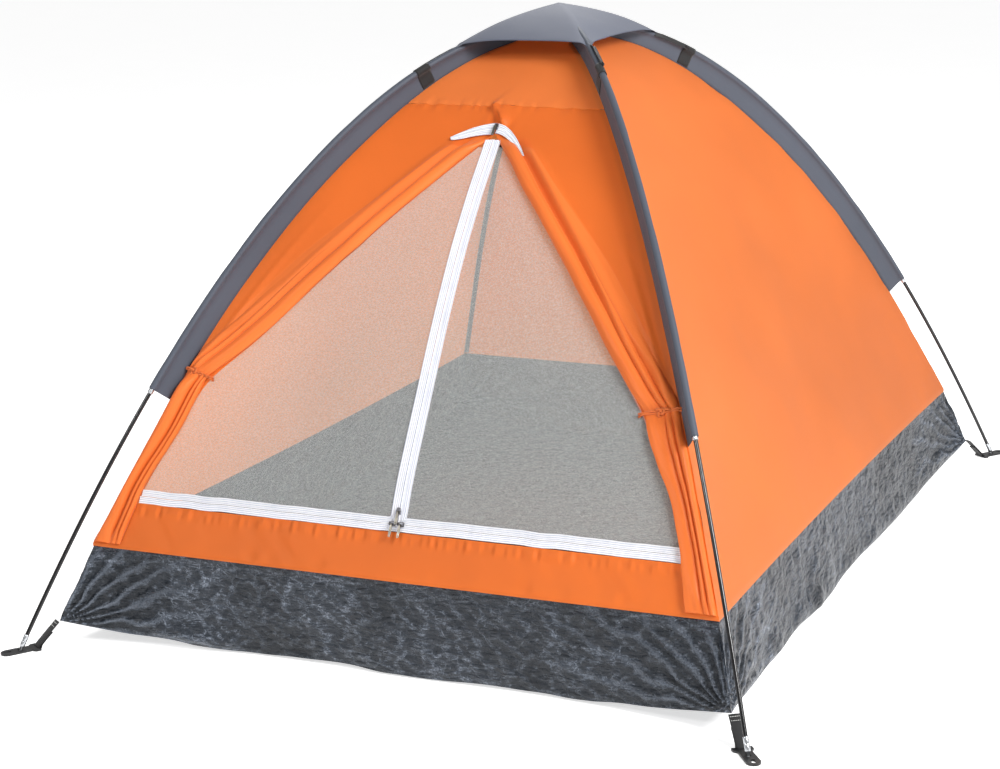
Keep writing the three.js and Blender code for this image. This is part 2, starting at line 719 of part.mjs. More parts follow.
// ---------------------------------------------------------------- rain cap with its elastics
const upperHalf = archHalf(apexB);
function capHeight(radius) {
  let i = upperHalf.length - 2;
  while (i > 0 && upperHalf[i].x < radius) {
    i -= 1;
  }
  const share = (radius - upperHalf[i + 1].x) / (upperHalf[i].x - upperHalf[i + 1].x);
  return upperHalf[i + 1].y + share * (upperHalf[i].y - upperHalf[i + 1].y) + capClear;
}
const capShares = [-1, -0.8, -0.4, 0, 0.4, 0.8, 1];
const capGrid = capShares.map((v) => capShares.map((u) => {
  const radius = capRadius * Math.max(Math.abs(u), Math.abs(v));
  const peak = capPeak * (1 - radius / capRadius);
  return vec(u * planX * capRadius, v * planY * capRadius, capHeight(radius) + peak);
}));
let cap = toManifold(sheetBody(capGrid, cloth));
for (const [, letter, end] of corners) {
  const { path } = poles[letter];
  const inward = path.at(path.length / 2).normal.z < 0 ? 1 : -1;
  const hook = path.at(end > 0 ? bandEnd - 10 : path.length - bandEnd + 10);
  const middle = path.at(end > 0 ? 1450 : path.length - 1450);
  const cornerShare = (capRadius - 8) / capRadius;
  const { centre } = path.at(end > 0 ? 1500 : path.length - 1500);
  const plan = vec(centre.x, centre.y, 0).normalize().multiplyScalar(capRadius * cornerShare);
  const points = [
    vec(plan.x, plan.y, capHeight(capRadius * cornerShare) - 0.6),
    middle.centre.clone().addScaledVector(middle.normal, -13 * inward),
    hook.centre.clone().addScaledVector(hook.normal, -12.5 * inward),
  ];
  const strap = makePath(points, hook.side);
  const section = { outline: [[-1, -4], [1, -4], [1, 4], [-1, 4]] };
  cap = cap.add(toManifold(sweptBody(strap, strap.stations(0, strap.length), () => section)));
}
add('rain_cap', fromManifold(cap), grey);

export default tent;
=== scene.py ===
import math

import bmesh
import bpy
import numpy as np
from mathutils import Matrix, Vector


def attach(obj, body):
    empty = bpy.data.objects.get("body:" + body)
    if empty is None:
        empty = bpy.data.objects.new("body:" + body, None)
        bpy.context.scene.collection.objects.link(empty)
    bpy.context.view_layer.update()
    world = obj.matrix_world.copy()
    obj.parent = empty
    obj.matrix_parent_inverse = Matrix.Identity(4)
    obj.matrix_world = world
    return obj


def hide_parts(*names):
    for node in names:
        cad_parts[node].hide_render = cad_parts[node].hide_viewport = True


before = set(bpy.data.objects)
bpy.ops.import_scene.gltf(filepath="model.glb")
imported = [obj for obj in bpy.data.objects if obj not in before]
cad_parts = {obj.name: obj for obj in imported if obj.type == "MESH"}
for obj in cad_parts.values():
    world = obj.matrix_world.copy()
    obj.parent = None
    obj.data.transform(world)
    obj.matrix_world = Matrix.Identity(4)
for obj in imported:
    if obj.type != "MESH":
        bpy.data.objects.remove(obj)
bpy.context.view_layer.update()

# Sizes below are millimetres in the row frame unless a name ends in _M; meshes are written in metres.
MM = 0.001
FRAME_BODY = "tent_frame"

# ------------------------------------------------------------------ camera, at the photograph's angle
camera_data = bpy.data.cameras.new("camera")
camera_data.lens = 80.38
camera_data.sensor_width = 36.0
camera = bpy.data.objects.new("camera", camera_data)
bpy.context.collection.objects.link(camera)
YAW, PITCH, ROLL = math.radians(-23.68), math.radians(13.56), math.radians(-1.22)
look = Vector((math.sin(YAW) * math.cos(PITCH), math.cos(YAW) * math.cos(PITCH), -math.sin(PITCH)))
level = look.cross(Vector((0, 0, 1))).normalized()
lift = level.cross(look)
right = level * math.cos(ROLL) + lift * math.sin(ROLL)
top = lift * math.cos(ROLL) - level * math.sin(ROLL)
camera.matrix_world = Matrix.Translation((1.734, -4.294, 1.468)) @ Matrix(
    (
        (right.x, top.x, -look.x, 0),
        (right.y, top.y, -look.y, 0),
        (right.z, top.z, -look.z, 0),
        (0, 0, 0, 1),
    )
)
bpy.context.scene.camera = camera

# ------------------------------------------------------------------ the tent's lines
FOOT_X, FOOT_Y = 720.0, 995.0
FOOT_R = math.hypot(FOOT_X, FOOT_Y)
UX, UY = FOOT_X / FOOT_R, FOOT_Y / FOOT_R
APEX = {"a": 1117.0, "b": 1128.5}
FOOT_ANGLE = math.radians(60.6)
FOOT_PULL, APEX_PULL, FOOT_RISE = 484.0, 547.0, 1.2
CORNERS = {
    "front_left": ("a", -1, -1),
    "front_right": ("b", 1, -1),
    "back_right": ("a", 1, 1),
    "back_left": ("b", -1, 1),
}
TUB_R, TUB_TOP = 1069.0, 187.0
HEADER_Z, DOOR_APEX, DOOR_SILL, DOOR_HALF = 974.0, 925.0, 262.5, 547.0
TIE_Z = 490.0
SLEEVE_START, CANOPY_END = 556.0, 98.0


def smoothstep(x, lo, hi):
    t = np.clip((np.asarray(x, float) - lo) / (hi - lo), 0, 1)
    return t * t * (3 - 2 * t)


class Arch:
    """One half of a pole's centre line in its own upright plane, by distance from the foot."""

    def __init__(self, apex):
        t = np.linspace(0, 1, 4001)[:, None]
        p = np.array(
            [
                [FOOT_R, FOOT_RISE],
                [FOOT_R - FOOT_PULL * math.cos(FOOT_ANGLE), FOOT_RISE + FOOT_PULL * math.sin(FOOT_ANGLE)],
                [APEX_PULL, apex],
                [0, apex],
            ]
        )
        self.rz = (1 - t) ** 3 * p[0] + 3 * (1 - t) ** 2 * t * p[1] + 3 * (1 - t) * t**2 * p[2] + t**3 * p[3]
        step = np.hypot(*np.diff(self.rz, axis=0).T)
        self.s = np.concatenate([[0], np.cumsum(step)])
        self.length = self.s[-1]
        tangent = np.gradient(self.rz, axis=0)
        self.t = tangent / np.linalg.norm(tangent, axis=1)[:, None]

    def at(self, s):
        """(points, tangents, inward normals) as [r, z] rows; s past the top carries on down the far side."""
        s = np.asarray(s, float)
        far = s > self.length
        m = np.where(far, 2 * self.length - s, s)
        p = np.stack([np.interp(m, self.s, self.rz[:, k]) for k in (0, 1)], -1)
        t = np.stack([np.interp(m, self.s, self.t[:, k]) for k in (0, 1)], -1)
        p[..., 0] = np.where(far, -p[..., 0], p[..., 0])
        t[..., 1] = np.where(far, -t[..., 1], t[..., 1])
        n = np.stack([-t[..., 1], t[..., 0]], -1)
        return p, t, n


ARCH = {k: Arch(v) for k, v in APEX.items()}


def seam_curve():
    arch = ARCH["a"]
    s = np.linspace(SLEEVE_START, arch.length - CANOPY_END, 600)
    p, _, n = arch.at(s)
    off = 45 - 20 * smoothstep(s, 1150, arch.length)
    pts = p + n * off[:, None]
    low = np.array([[TUB_R, TUB_TOP]])
    pts = np.vstack([low, pts])
    # An even run of heights, lightly smoothed where the straight foot meets the curve.
    z = np.linspace(TUB_TOP, pts[-1, 1], 900)
    r = np.interp(z, pts[:, 1], pts[:, 0])
    kernel = np.hanning(61)
    kernel /= kernel.sum()
    padded = np.concatenate([r[0] + (r[0] - r[30:0:-1]), r, r[-1] - (r[-2:-32:-1] - r[-1])])
    soft = np.convolve(padded, kernel, "valid")
    weight = smoothstep(z, TUB_TOP, TUB_TOP + 60) * (1 - smoothstep(z, 900, 1000))
    return z, r + (soft - r) * weight


SEAM_Z, SEAM_R = seam_curve()
VENT_Z, VENT_R = SEAM_Z[-1], SEAM_R[-1]
SEAM_SLOPE = np.gradient(SEAM_R, SEAM_Z)


def seam_r(z):
    return np.interp(z, SEAM_Z, SEAM_R)


def seam_heights(lo, hi, count):
    """Heights between lo and hi, spaced evenly along the seam."""
    z = np.linspace(lo, hi, 2000)
    r = seam_r(z)
    run = np.concatenate([[0], np.cumsum(np.hypot(np.diff(z), np.diff(r)))])
    return np.interp(np.linspace(0, run[-1], count), run, z)


def bow(z, share, deepest, start):
    rise = smoothstep(z, start, start + 250)
    fade = 1 - smoothstep(z, 850, VENT_Z)
    return deepest * rise * fade * (1 - share * share)


def front_point(x, z, out=0.0):
    x, z = np.asarray(x, float), np.asarray(z, float)
    r = seam_r(z)
    y = -UY * r + bow(z, x / (UX * r), 12, 300)
    slope = UY * np.interp(z, SEAM_Z, SEAM_SLOPE)
    size = np.sqrt(1 + slope**2)
    return np.stack([x + 0 * z, y - out / size, z - out * slope / size], -1)


def wall_point(face, t, z, out=0.0):
    """Point on a side or back wall at the share t across it, out along its normal."""
    r = seam_r(z)
    slope = np.interp(z, SEAM_Z, SEAM_SLOPE)
    if face == "back":
        slope = UY * slope
        size = np.sqrt(1 + slope**2)
        y = UY * r - bow(z, t, 25, 200)
        return np.stack([t * UX * r, y + out / size, z - out * slope / size], -1)
    sign = 1 if face == "right" else -1
    slope = UX * slope
    size = np.sqrt(1 + slope**2)
    x = UX * r - bow(z, t, 25, 200)
    return np.stack([sign * (x + out / size), t * UY * r, z - out * slope / size], -1)


def foot_sag(share):
    """How far the seam of the walls to the tub hangs inward between two corners, in millimetres."""
    return 17.0 * (1 - share * share)


def door_edge(z):
    share = np.clip((np.asarray(z, float) - DOOR_SILL) / (DOOR_APEX - DOOR_SILL), 0, 1)
    return DOOR_HALF * (1 - share**1.35)


def opening(z, sign):
    """The opening's edge, drawn outward where the tie pulls on the cloth."""
    pull = np.where(np.asarray(sign) < 0, 26.0, 8.0)
    return door_edge(z) + pull * np.exp(-(((np.asarray(z, float) - 478) / 62) ** 2))


# ------------------------------------------------------------------ noise, the same each run
LATTICE = {}


def noise(x, y, seed):
    if seed not in LATTICE:
        LATTICE[seed] = np.random.RandomState(seed).rand(97, 97) * 2 - 1
    g = LATTICE[seed]
    x, y = np.broadcast_arrays(np.asarray(x, float), np.asarray(y, float))
    xi, yi = np.floor(x).astype(int), np.floor(y).astype(int)
    fx, fy = x - xi, y - yi
    fx = fx * fx * fx * (fx * (fx * 6 - 15) + 10)
    fy = fy * fy * fy * (fy * (fy * 6 - 15) + 10)
    a, b = g[xi % 97, yi % 97], g[(xi + 1) % 97, yi % 97]
    c, d = g[xi % 97, (yi + 1) % 97], g[(xi + 1) % 97, (yi + 1) % 97]
    return (a * (1 - fx) + b * fx) * (1 - fy) + (c * (1 - fx) + d * fx) * fy


def fractal(x, y, seed, octaves=3):
    total, size = 0, 1
    for k in range(octaves):
        total = total + size * noise(x * 2**k, y * 2**k, seed + k)
        size *= 0.5
    return total


def ridged(x, y, seed, octaves=3):
    """Sharp creases between soft facets, from 0 to about 1."""
    total, size, whole = 0, 1, 0
    for k in range(octaves):
        total = total + size * (1 - np.abs(noise(x * 2**k, y * 2**k, seed + k)) * 1.6)
        whole += size
        size *= 0.5
    return total / whole


# ------------------------------------------------------------------ meshes
def link(name, data):
    obj = bpy.data.objects.new(name, data)
    bpy.context.collection.objects.link(obj)
    return obj


def new_object(name, verts, faces, uv=None, crest=None):
    mesh = bpy.data.meshes.new(name)
    mesh.from_pydata([tuple(v) for v in np.asarray(verts) * MM], [], [tuple(f) for f in faces])
    mesh.update()
    if uv is not None:
        layer = mesh.uv_layers.new(name="UVMap")
        loops = np.empty(len(mesh.loops), dtype=np.int32)
        mesh.loops.foreach_get("vertex_index", loops)
        layer.data.foreach_set("uv", (np.asarray(uv)[loops] * MM).astype(np.float32).ravel())
    # crest: per-point values that steer the tarpaulin's painted glints and painted light.
    if crest is not None:
        values = np.asarray(crest, np.float32).ravel()
        mesh.attributes.new("crest", "FLOAT", "POINT").data.foreach_set("value", values)
    mesh.polygons.foreach_set("use_smooth", [True] * len(mesh.polygons))
    return link(name, mesh)


def grid_faces(rows, cols, offset=0, wrap=False):
    faces = []
    for i in range(rows - 1):
        for j in range(cols if wrap else cols - 1):
            k = (j + 1) % cols
            here, below = offset + i * cols, offset + (i + 1) * cols
            faces.append((here + j, here + k, below + k, below + j))
    return faces


def grid_uv(points):
    """Distances along the middle row and column, in millimetres."""
    rows, cols = points.shape[:2]
    across = np.linalg.norm(np.diff(points, axis=1), axis=2)
    down = np.linalg.norm(np.diff(points, axis=0), axis=2)
    u = np.concatenate([np.zeros((rows, 1)), np.cumsum(across, axis=1)], 1)
    u -= u[:, cols // 2][:, None]
    v = np.concatenate([np.zeros((1, cols)), np.cumsum(down, axis=0)], 0)
    return np.stack([u, v], -1).reshape(-1, 2)


def grid_object(name, points, wrap=False):
    rows, cols = points.shape[:2]
    return new_object(name, points.reshape(-1, 3), grid_faces(rows, cols, 0, wrap), grid_uv(points))


def thicken(obj, depth_m, offset=-1.0):
    modifier = obj.modifiers.new("thickness", "SOLIDIFY")
    modifier.thickness = depth_m
    modifier.offset = offset
    return obj


def join(name, objects):
    """Several loose parts of one piece as one object."""
    bm = bmesh.new()
    for o in objects:
        bm.from_mesh(o.data)
    mesh = bpy.data.meshes.new(name)
    bm.to_mesh(mesh)
    bm.free()
    for o in objects:
        bpy.data.objects.remove(o)
    return link(name, mesh)


def place(obj, material, body=FRAME_BODY, nodes=()):
    obj.data.materials.clear()
    obj.data.materials.append(material)
    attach(obj, body)
    if nodes:
        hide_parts(*nodes)
    return obj


def corner_frame(corner):
    _, sx, sy = CORNERS[corner]
    out = np.array([sx * UX, sy * UY, 0.0])
    side = np.array([-sy * UY, sx * UX, 0.0])
    return out, side


def on_arch(corner, s):
    """(points, inward normals, tangents, side) in space along a corner's half of its pole."""
    arch = ARCH[CORNERS[corner][0]]
    out, side = corner_frame(corner)
    p, t, n = arch.at(s)
    up = np.array([0, 0, 1.0])
    lift3 = lambda q: q[..., :1] * out + q[..., 1:] * up
    return lift3(p), lift3(n), lift3(t), side


def tube(name, centres, normals, side, radii, sides=16):
    """Round tube along points in an upright plane; radii is one number per point, or one for all."""
    count = len(centres)
    radii = np.broadcast_to(np.asarray(radii, float), (count,))
    turn = np.linspace(0, 2 * math.pi, sides, endpoint=False)
    ring = np.cos(turn)[None, :, None] * normals[:, None, :] + np.sin(turn)[None, :, None] * side
    points = centres[:, None, :] + radii[:, None, None] * ring
    verts = points.reshape(-1, 3)
    faces = grid_faces(count, sides, 0, True)
    faces.append(tuple(range(sides)))
    faces.append(tuple(reversed(range((count - 1) * sides, count * sides))))
    length = np.concatenate([[0], np.cumsum(np.linalg.norm(np.diff(centres, axis=0), axis=1))])
    uv = np.stack(np.broadcast_arrays(turn[None, :] * radii.mean(), length[:, None]), -1).reshape(-1, 2)
    return new_object(name, verts, faces, uv)


def patchwork(name, grids, uvs, crest=None, weld_m=0):
    """Several grids of points as one piece, its normals all turned one way."""
    verts, faces = [], []
    for grid in grids:
        faces += grid_faces(*grid.shape[:2], sum(len(a) for a in verts))
        verts.append(grid.reshape(-1, 3))
    piece = new_object(name, np.vstack(verts), faces, np.vstack(uvs), crest)
    bm = bmesh.new()
    bm.from_mesh(piece.data)
    if weld_m:
        bmesh.ops.remove_doubles(bm, verts=bm.verts, dist=weld_m)
    bmesh.ops.recalc_face_normals(bm, faces=bm.faces)
    bm.to_mesh(piece.data)
    bm.free()
    return piece


def line_frame(line, helper):
    """Unit tangents along a line, and the directions square to them and to a helper."""
    tangent = np.gradient(line, axis=0)
    tangent /= np.linalg.norm(tangent, axis=1)[:, None]
    return tangent, np.cross(np.broadcast_to(helper, tangent.shape), tangent)


def dress(node, material, edge_m=0, segments=2):
    """Give a part carried over from the frame its material, and soften its edges."""
    node.data.materials.clear()
    node.data.materials.append(material)
    if edge_m:
        bevel = node.modifiers.new("edges", "BEVEL")
        bevel.width = edge_m
        bevel.segments = segments
        bevel.limit_method = "ANGLE"


# ------------------------------------------------------------------ materials
def hex_linear(code):
    value = [int(code[k : k + 2], 16) / 255 for k in (1, 3, 5)]
    return tuple(c / 12.92 if c < 0.04045 else ((c + 0.055) / 1.055) ** 2.4 for c in value) + (1.0,)


class Shader:
    """A material's node tree, built a node at a time."""

    def __init__(self, name):
        self.material = bpy.data.materials.new(name)
        self.material.use_nodes = True
        self.tree = self.material.node_tree
        self.tree.nodes.clear()
        self.out = self.tree.nodes.new("ShaderNodeOutputMaterial")

    def node(self, kind, inputs=None, **settings):
        n = self.tree.nodes.new("ShaderNode" + kind)
        for key, value in settings.items():
            setattr(n, key, value)
        for key, value in (inputs or {}).items():
            socket = n.inputs[key]
            if isinstance(value, bpy.types.NodeSocket):
                self.tree.links.new(value, socket)
            else:
                socket.default_value = value
        return n

    def math(self, operation, a, b=0.0, clamp=False):
        return self.node("Math", {0: a, 1: b}, operation=operation, use_clamp=clamp).outputs[0]

    def coords(self, source="Object", scale=(1, 1, 1), turn=(0, 0, 0)):
        where = self.node("TexCoord").outputs[source]
        return self.node("Mapping", {"Vector": where, "Scale": scale, "Rotation": turn}).outputs[0]

    def noise(self, vector, scale, detail=3.0, rough=0.5, kind="FBM"):
        n = self.node("TexNoise", {"Vector": vector, "Scale": scale, "Detail": detail, "Roughness": rough})
        n.noise_type = kind
        return n.outputs["Fac"]

    def wave(self, vector, scale, direction="X"):
        n = self.node("TexWave", {"Vector": vector, "Scale": scale}, bands_direction=direction)
        return n.outputs["Fac"]

    def ramp(self, value, stops):
        n = self.node("ValToRGB", {"Fac": value})
        ramp = n.color_ramp
        while len(ramp.elements) < len(stops):
            ramp.elements.new(0.5)
        for element, (position, colour) in zip(ramp.elements, stops):
            element.position = position
            element.color = colour if len(colour) == 4 else (*colour, 1)
        return n.outputs["Color"]

    def range(self, value, lo, hi, new_lo, new_hi):
        inputs = {"Value": value, "From Min": lo, "From Max": hi, "To Min": new_lo, "To Max": new_hi}
        return self.node("MapRange", inputs).outputs["Result"]

    def mix_colour(self, fac, a, b, blend="MIX"):
        n = self.node("Mix", data_type="RGBA", blend_type=blend)
        for key, value in ((0, fac), (6, a), (7, b)):
            if isinstance(value, bpy.types.NodeSocket):
                self.tree.links.new(value, n.inputs[key])
            else:
                n.inputs[key].default_value = value
        return n.outputs[2]

    def bump(self, height, strength, distance, normal=None):
        inputs = {"Height": height, "Strength": strength, "Distance": distance}
        if normal is not None:
            inputs["Normal"] = normal
        return self.node("Bump", inputs).outputs["Normal"]

    def principled(self, colour, rough, normal, **more):
        inputs = {"Base Color": colour, "Roughness": rough, "Normal": normal}
        inputs.update((key.replace("_", " "), value) for key, value in more.items())
        return self.node("BsdfPrincipled", inputs).outputs[0]

    def let_through(self, share, body, **inputs):
        """A surface that also lets a share of the light behind it through."""
        through = self.node("BsdfTranslucent", inputs).outputs[0]
        return self.node("MixShader", {0: share, 1: body, 2: through}).outputs[0]

    def finish(self, surface):
        self.tree.links.new(surface, self.out.inputs["Surface"])
        return self.material


def toned(colour, share, lift=0.0):
    """A colour scaled and lifted, kept within white."""
    return tuple(min(1, c * share + lift) for c in colour[:3]) + (1,)


# Object axes that a cloth's two threads run along, as turns that bring them to X and Y.
LIE = {"xz": (math.pi / 2, 0, 0), "yz": (math.pi / 2, 0, math.pi / 2), "xy": (0, 0, 0)}


def cloth(name, colour, lie="xz", shade=0.06, see_through=0.35, rough=0.5, sheen=0.08, glow=None, uv=False):
    """Plain-woven polyester: fine weave, soft creases, faint colour drift, light let through."""
    s = Shader(name)
    base = s.coords("UV") if uv else s.coords("Object", turn=LIE[lie])
    drift = s.noise(s.coords("Object"), 2.6, 3.0, 0.55)
    darker = toned(colour, 1 - shade * 2.4)
    lighter = toned(colour, 1 + shade)
    tint = s.ramp(drift, [(0.3, darker), (0.72, lighter)])
    warp = s.wave(base, 420.0, "X")
    weft = s.wave(base, 420.0, "Y")
    weave = s.math("MULTIPLY", warp, weft)
    speck = s.noise(base, 900.0, 2.0, 0.7)
    grain = s.mix_colour(s.range(s.math("ADD", weave, speck), 0.2, 1.6, 0.0, 0.10), tint, darker)
    creases = s.noise(s.coords("Object"), 9.0, 4.0, 0.55, "RIDGED_MULTIFRACTAL")
    soft = s.bump(creases, 0.10, 0.004)
    normal = s.bump(weave, 0.12, 0.0004, soft)
    body = s.principled(
        grain, s.range(drift, 0.2, 0.8, rough - 0.05, rough + 0.07), normal, Sheen_Weight=sheen,
        Sheen_Roughness=0.45, Specular_IOR_Level=0.3
    )
    return s.finish(s.let_through(see_through, body, Color=glow or colour, Normal=normal))


# Crease nets of the tarpaulin, shaping its bumps and its painted glint lines: cells per metre, glint line
# width, stretch and lean.
CREASES = (
    (24, 0.020, (0.8, 0.8, 1.5), 0.6),
    (50, 0.045, (0.5, 0.6, 1.7), -0.4),
    (105, 0.085, (0.5, 0.7, 1.6), 0.2),
)


def tarpaulin(name, colour):
    """Woven polyethylene sheet: glossy and finely crinkled, with painted glints along its creases and painted
    light on its crinkles' crests.
    """
    s = Shader(name)
    where = s.coords("Object")
    drift = s.noise(where, 5.0, 2.0, 0.5)
    tiny = s.noise(where, 300.0, 3.0, 0.7)
    wander = s.node("TexNoise", {"Vector": where, "Scale": 22.0, "Detail": 3.0}).outputs["Color"]
    wander = s.node("VectorMath", {0: wander, 3: 0.016}, operation="SCALE").outputs[0]
    bent = s.node("VectorMath", {0: where, 1: wander}, operation="ADD").outputs[0]
    creases, facets = [], []
    for scale, width, stretch, turn in CREASES:
        drawn = s.node("Mapping", {"Vector": bent, "Scale": stretch, "Rotation": (0, turn, 0)}).outputs[0]
        cells = {"Vector": drawn, "Scale": scale}
        edge = s.node("TexVoronoi", cells, feature="DISTANCE_TO_EDGE").outputs["Distance"]
        facets.append(edge)
        creases.append(s.range(edge, 0.0, width, 1.0, 0.0))
    # Painted glints: bright crease lines and soft streaks, gathered in noisy patches (the worn noise places
    # them) and mostly on the crinkles' crests.
    worn = s.noise(where, 70.0, 2.0, 0.6)
    painted_glint = s.math("MAXIMUM", creases[0], s.math("MULTIPLY", creases[1], 0.9))
    painted_glint = s.math("MAXIMUM", painted_glint, s.math("MULTIPLY", creases[2], 0.6))
    painted_glint = s.math("MULTIPLY", painted_glint, s.range(worn, 0.40, 0.62, 0.0, 0.8))
    drawn = s.coords("Object", scale=(1, 1, 3.6), turn=(0, 0.3, 0))
    streak = s.noise(drawn, 42.0, 4.0, 0.66)
    painted_glint = s.math("MAXIMUM", painted_glint, s.range(streak, 0.50, 0.68, 0.0, 0.62))
    painted_glint = s.math("MULTIPLY", painted_glint, s.range(tiny, 0.40, 0.56, 0.2, 1.0))
    painted_glint = s.math("MULTIPLY", painted_glint, s.range(drift, 0.42, 0.58, 0.45, 1.0))
    # The mesh's crest values: the crinkles' bend, which steers the painted glints and painted light, and
    # above 1 painted glint lines along the corner folds.
    crest = s.node("Attribute", attribute_name="crest").outputs["Fac"]
    painted_glint = s.math("MULTIPLY", painted_glint, s.range(crest, -0.5, 0.3, 0.15, 1.0))
    fold = s.math("MULTIPLY", s.range(crest, 1.0, 2.0, 0.0, 0.5), s.range(tiny, 0.36, 0.56, 0.4, 1.0))
    painted_glint = s.math("MAXIMUM", painted_glint, fold)
    # dark and middle are the sheet's own tone at random; pale is the colour of the painted glints; the crest
    # mix below paints light on the crinkles' crests.
    dark = toned(colour, 0.18)
    middle = toned(colour, 0.34)
    pale = toned(colour, 3.8, 0.19)
    base = s.mix_colour(s.range(drift, 0.38, 0.60, 0.0, 1.0), dark, middle)
    base = s.mix_colour(s.range(crest, 0.0, 0.9, 0.0, 0.22), base, colour)
    base = s.mix_colour(s.math("MULTIPLY", painted_glint, 0.9), base, pale)
    weave = s.math("MULTIPLY", s.wave(where, 300.0, "X"), s.wave(where, 300.0, "Z"))
    normal = s.bump(facets[0], 1.0, 0.009)
    normal = s.bump(facets[1], 1.0, 0.005, normal)
    normal = s.bump(facets[2], 0.8, 0.002, normal)
    normal = s.bump(tiny, 0.6, 0.0015, normal)
    normal = s.bump(weave, 0.10, 0.0003, normal)
    body = s.principled(
        base, s.range(tiny, 0.3, 0.7, 0.24, 0.40), normal, Specular_IOR_Level=0.3, Coat_Weight=0.06,
        Coat_Roughness=0.2
    )
    return s.finish(body)


def netting(name, colour, cover, lie="xz"):
    """Insect netting: round threads about square holes, the holes really open."""
    s = Shader(name)
    base = s.coords("Object", turn=LIE[lie])
    across = s.wave(base, 300.0, "X")
    along = s.wave(base, 300.0, "Y")
    thread = s.math("MAXIMUM", across, along)
    streak = s.noise(s.coords("Object", scale=(1, 1, 1.6)), 260.0, 2.0, 0.6)
    solid = s.range(thread, cover - 0.05, cover + 0.05, 0.0, 1.0)
    solid = s.math("MULTIPLY", solid, s.range(streak, 0.3, 0.7, 0.50, 0.70))
    tint = s.ramp(streak, [(0.3, toned(colour, 0.88)), (0.7, colour)])
    body = s.principled(tint, 0.75, s.bump(thread, 0.25, 0.0004), Sheen_Weight=0.2)
    lit = s.let_through(0.2, body, Color=colour)
    clear = s.node("BsdfTransparent").outputs[0]
    return s.finish(s.node("MixShader", {0: solid, 1: clear, 2: lit}).outputs[0])


def ribbed(name, colour, scale, rough=0.7, depth=0.0006, uv=True):
    """Woven tape or webbing with lengthwise ribs and cross threads, painted darker in the troughs as shade.
    """
    s = Shader(name)
    base = s.coords("UV") if uv else s.coords("Object", turn=LIE["xz"])
    ribs = s.wave(base, scale, "X")
    threads = s.wave(base, scale * 1.7, "Y")
    fuzz = s.noise(s.coords("Object"), 600.0, 3.0, 0.6)
    height = s.math("ADD", ribs, s.math("MULTIPLY", threads, 0.5))
    dark = toned(colour, 0.72)
    # Painted shade: the colour darkens where the ribs and threads sink.
    tint = s.mix_colour(s.range(s.math("ADD", height, fuzz), 0.5, 1.9, 0.0, 1.0), dark, colour)
    body = s.principled(tint, rough, s.bump(height, 0.3, depth), Sheen_Weight=0.15)
    return s.finish(body)


def zip_tape(name, colour, line):
    """Zip tape: lengthwise woven channels with painted bluish shade in their troughs, and the coil's fine
    teeth.
    """
    s = Shader(name)
    base = s.coords("UV")
    channel = s.wave(base, 74.0, "X")
    teeth = s.wave(base, 210.0, "Y")
    fuzz = s.noise(s.coords("Object"), 420.0, 3.0, 0.6)
    worn = s.noise(s.coords("Object"), 34.0, 3.0, 0.6)
    # Painted shade: the bluish-grey line colour fills the channels' troughs; worn adds the same colour in
    # random patches.
    trough_shade = s.math("ADD", s.math("MULTIPLY", channel, 0.8), s.math("MULTIPLY", fuzz, 0.35))
    tint = s.mix_colour(s.range(trough_shade, 0.18, 0.62, 0.0, 1.0), line, colour)
    tint = s.mix_colour(s.range(worn, 0.45, 0.75, 0.0, 0.25), tint, line)
    height = s.math("ADD", channel, s.math("MULTIPLY", teeth, 0.35))
    body = s.principled(tint, s.range(fuzz, 0.3, 0.7, 0.5, 0.7), s.bump(height, 0.6, 0.0012))
    return s.finish(s.let_through(0.1, body, Color=colour))


def rod(name, colour):
    """Glossy pultruded fibreglass: lengthwise drawing lines under a clear gloss."""
    s = Shader(name)
    lines = s.noise(s.coords("UV", scale=(900, 14, 1)), 1.0, 3.0, 0.6)
    scuff = s.noise(s.coords("Object"), 160.0, 4.0, 0.6)
    pale = toned(colour, 1.9, 0.004)
    tint = s.mix_colour(s.range(lines, 0.35, 0.75, 0.0, 1.0), colour, pale)
    body = s.principled(
        tint, s.range(scuff, 0.35, 0.7, 0.12, 0.26), s.bump(lines, 0.12, 0.0003), Coat_Weight=0.15,
        Coat_Roughness=0.06, Specular_IOR_Level=0.45
    )
    return s.finish(body)


def metal(name, colour, rough=0.26):
    """Plated steel: fine turning marks, faint smears, small dents."""
    s = Shader(name)
    where = s.coords("Object")
    smear = s.noise(where, 90.0, 4.0, 0.6)
    brushed = s.noise(s.coords("Object", scale=(60, 60, 1400)), 1.0, 2.0, 0.6)
    dull = toned(colour, 0.74)
    tint = s.mix_colour(s.range(smear, 0.35, 0.7, 0.0, 1.0), colour, dull)
    body = s.principled(
        tint, s.range(smear, 0.3, 0.75, rough - 0.06, rough + 0.14),
        s.bump(brushed, 0.12, 0.0002, s.bump(smear, 0.1, 0.0005)), Metallic=1.0
    )
    return s.finish(body)


def moulded(name, colour):
    """Moulded nylon with a fine spark-eroded grain and worn, paler high spots."""
    s = Shader(name)
    where = s.coords("Object")
    grain = s.noise(where, 1400.0, 2.0, 0.6)
    wear = s.noise(where, 120.0, 4.0, 0.6)
    pale = toned(colour, 2.2, 0.01)
    tint = s.mix_colour(s.range(wear, 0.5, 0.75, 0.0, 1.0), colour, pale)
    body = s.principled(
        tint, s.range(wear, 0.3, 0.7, 0.38, 0.55), s.bump(grain, 0.2, 0.0003), Specular_IOR_Level=0.5
    )
    return s.finish(body)
